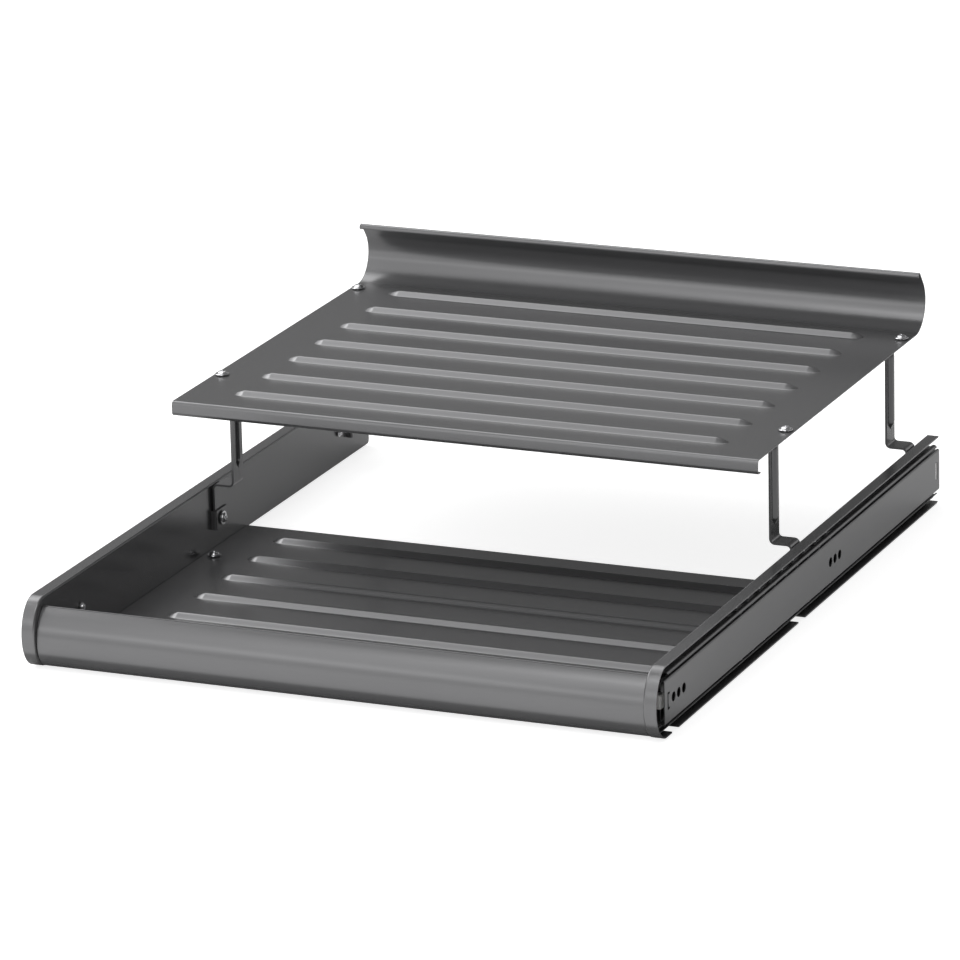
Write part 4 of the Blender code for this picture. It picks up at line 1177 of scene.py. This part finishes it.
cabinet_cuts.append(block((CABINET_X - CUT / 2, y - SLOT_SIZE[0] / 2, RUNNER_Z - SLOT_SIZE[1] / 2),
                          (CABINET_X + CUT / 2, y + SLOT_SIZE[0] / 2, RUNNER_Z + SLOT_SIZE[1] / 2)))
right_cabinet = rail("cabinet_channel_right", (flange + bend)[::-1], "cabinet_rail_right",
                     cabinet_cuts)
dress_both(right_cabinet, RUNNER_STEEL, "cabinet_rails", "cabinet_rail_right")

# %% [markdown]
# ## Balls and cages
# Thin strips keep the balls apart. A strip has a window for each ball, a little larger than the ball,
# which stands through it. Strips and balls show at the ends of the rails when the tray is out.

# %% Balls and cages
CAGE_LOW, CAGE_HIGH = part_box("outer_ball_cage_right")
BALLS_IN_ROW = 9
BALL_SEGMENTS = 24
BALL_RINGS = 14
BALL_MARGIN = 12 * MM
CAGE_FINGER = 0.5 * MM
CAGE_HORN = 1.2 * MM
CAGE_BEND = 0.6 * MM
CAGE_BEND_STEPS = 5
WINDOW_PLAY = 0.15 * MM


def ball_places():
    """Y of each ball in a row."""
    pitch = (CAGE_HIGH.y - CAGE_LOW.y - 2 * BALL_MARGIN) / (BALLS_IN_ROW - 1)
    return [CAGE_LOW.y + BALL_MARGIN + pitch * index for index in range(BALLS_IN_ROW)]


def balls(x, z):
    """Upper and lower row of balls as one builder."""
    spheres = []
    for y in ball_places():
        for side in (-1, 1):
            sphere = bmesh.new()
            spot = Matrix.Translation((x, y, RUNNER_Z + side * z))
            bmesh.ops.create_uvsphere(sphere, u_segments=BALL_SEGMENTS, v_segments=BALL_RINGS,
                                      radius=BALL_RADIUS, matrix=spot)
            spheres.append(sphere)
    return joined(spheres)


reach = OUTER_BALL_Z + CAGE_FINGER
plate = block((OUTER_CAGE_X - CAGE_SHEET / 2, CAGE_LOW.y, RUNNER_Z - reach),
              (OUTER_CAGE_X + CAGE_SHEET / 2, CAGE_HIGH.y, RUNNER_Z + reach))
tip = INNER_BALL_X + CAGE_HORN
bottom, top = RUNNER_Z - INNER_BALL_Z, RUNNER_Z + INNER_BALL_Z
channel = ((tip, bottom), (INNER_CAGE_X, bottom), (INNER_CAGE_X, top), (tip, top))
outline = sheet_outline(rounded(channel, CAGE_BEND, CAGE_BEND_STEPS), CAGE_SHEET)
strip = extruded(outline, CAGE_LOW.y, CAGE_HIGH.y, "Y")
for kind, builder, x, z, axis in (("outer", plate, OUTER_BALL_X, OUTER_BALL_Z, "X"),
                                  ("inner", strip, INNER_BALL_X, INNER_BALL_Z, "Z")):
    cuts = [bar((x, y, RUNNER_Z + side * z), BALL_RADIUS + WINDOW_PLAY, axis)
            for y in ball_places() for side in (-1, 1)]
    right_cage = shaped(f"{kind}_cage_strip_right", builder, cuts=cuts, edge=0)
    right_balls = shaped(f"{kind}_balls_right", balls(x, z), edge=0)
    for item, finish in ((right_cage, CAGE_STEEL), (right_balls, BEARING_STEEL)):
        dress_both(item, finish, f"{kind}_cage_right", f"{kind}_ball_cage_right")

# %% [markdown]
# ## Nylon buffers
# A moulded buffer sits in the front end of each tray rail and stops the middle rail softly.

# %% Buffers
BUFFER_EDGE = 1.0 * MM
BUFFER_BREAK = 0.5 * MM
low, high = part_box("runner_bumper_right")
section = ((low.x, low.y), (high.x - BUFFER_EDGE, low.y), (high.x, low.y + BUFFER_EDGE),
           (high.x, high.y), (low.x, high.y))
right_buffer = shaped("nylon_buffer_right", extruded(section, low.z, high.z, "Z"), edge=BUFFER_BREAK)
dress_both(right_buffer, NYLON, "tray", "runner_bumper_right")
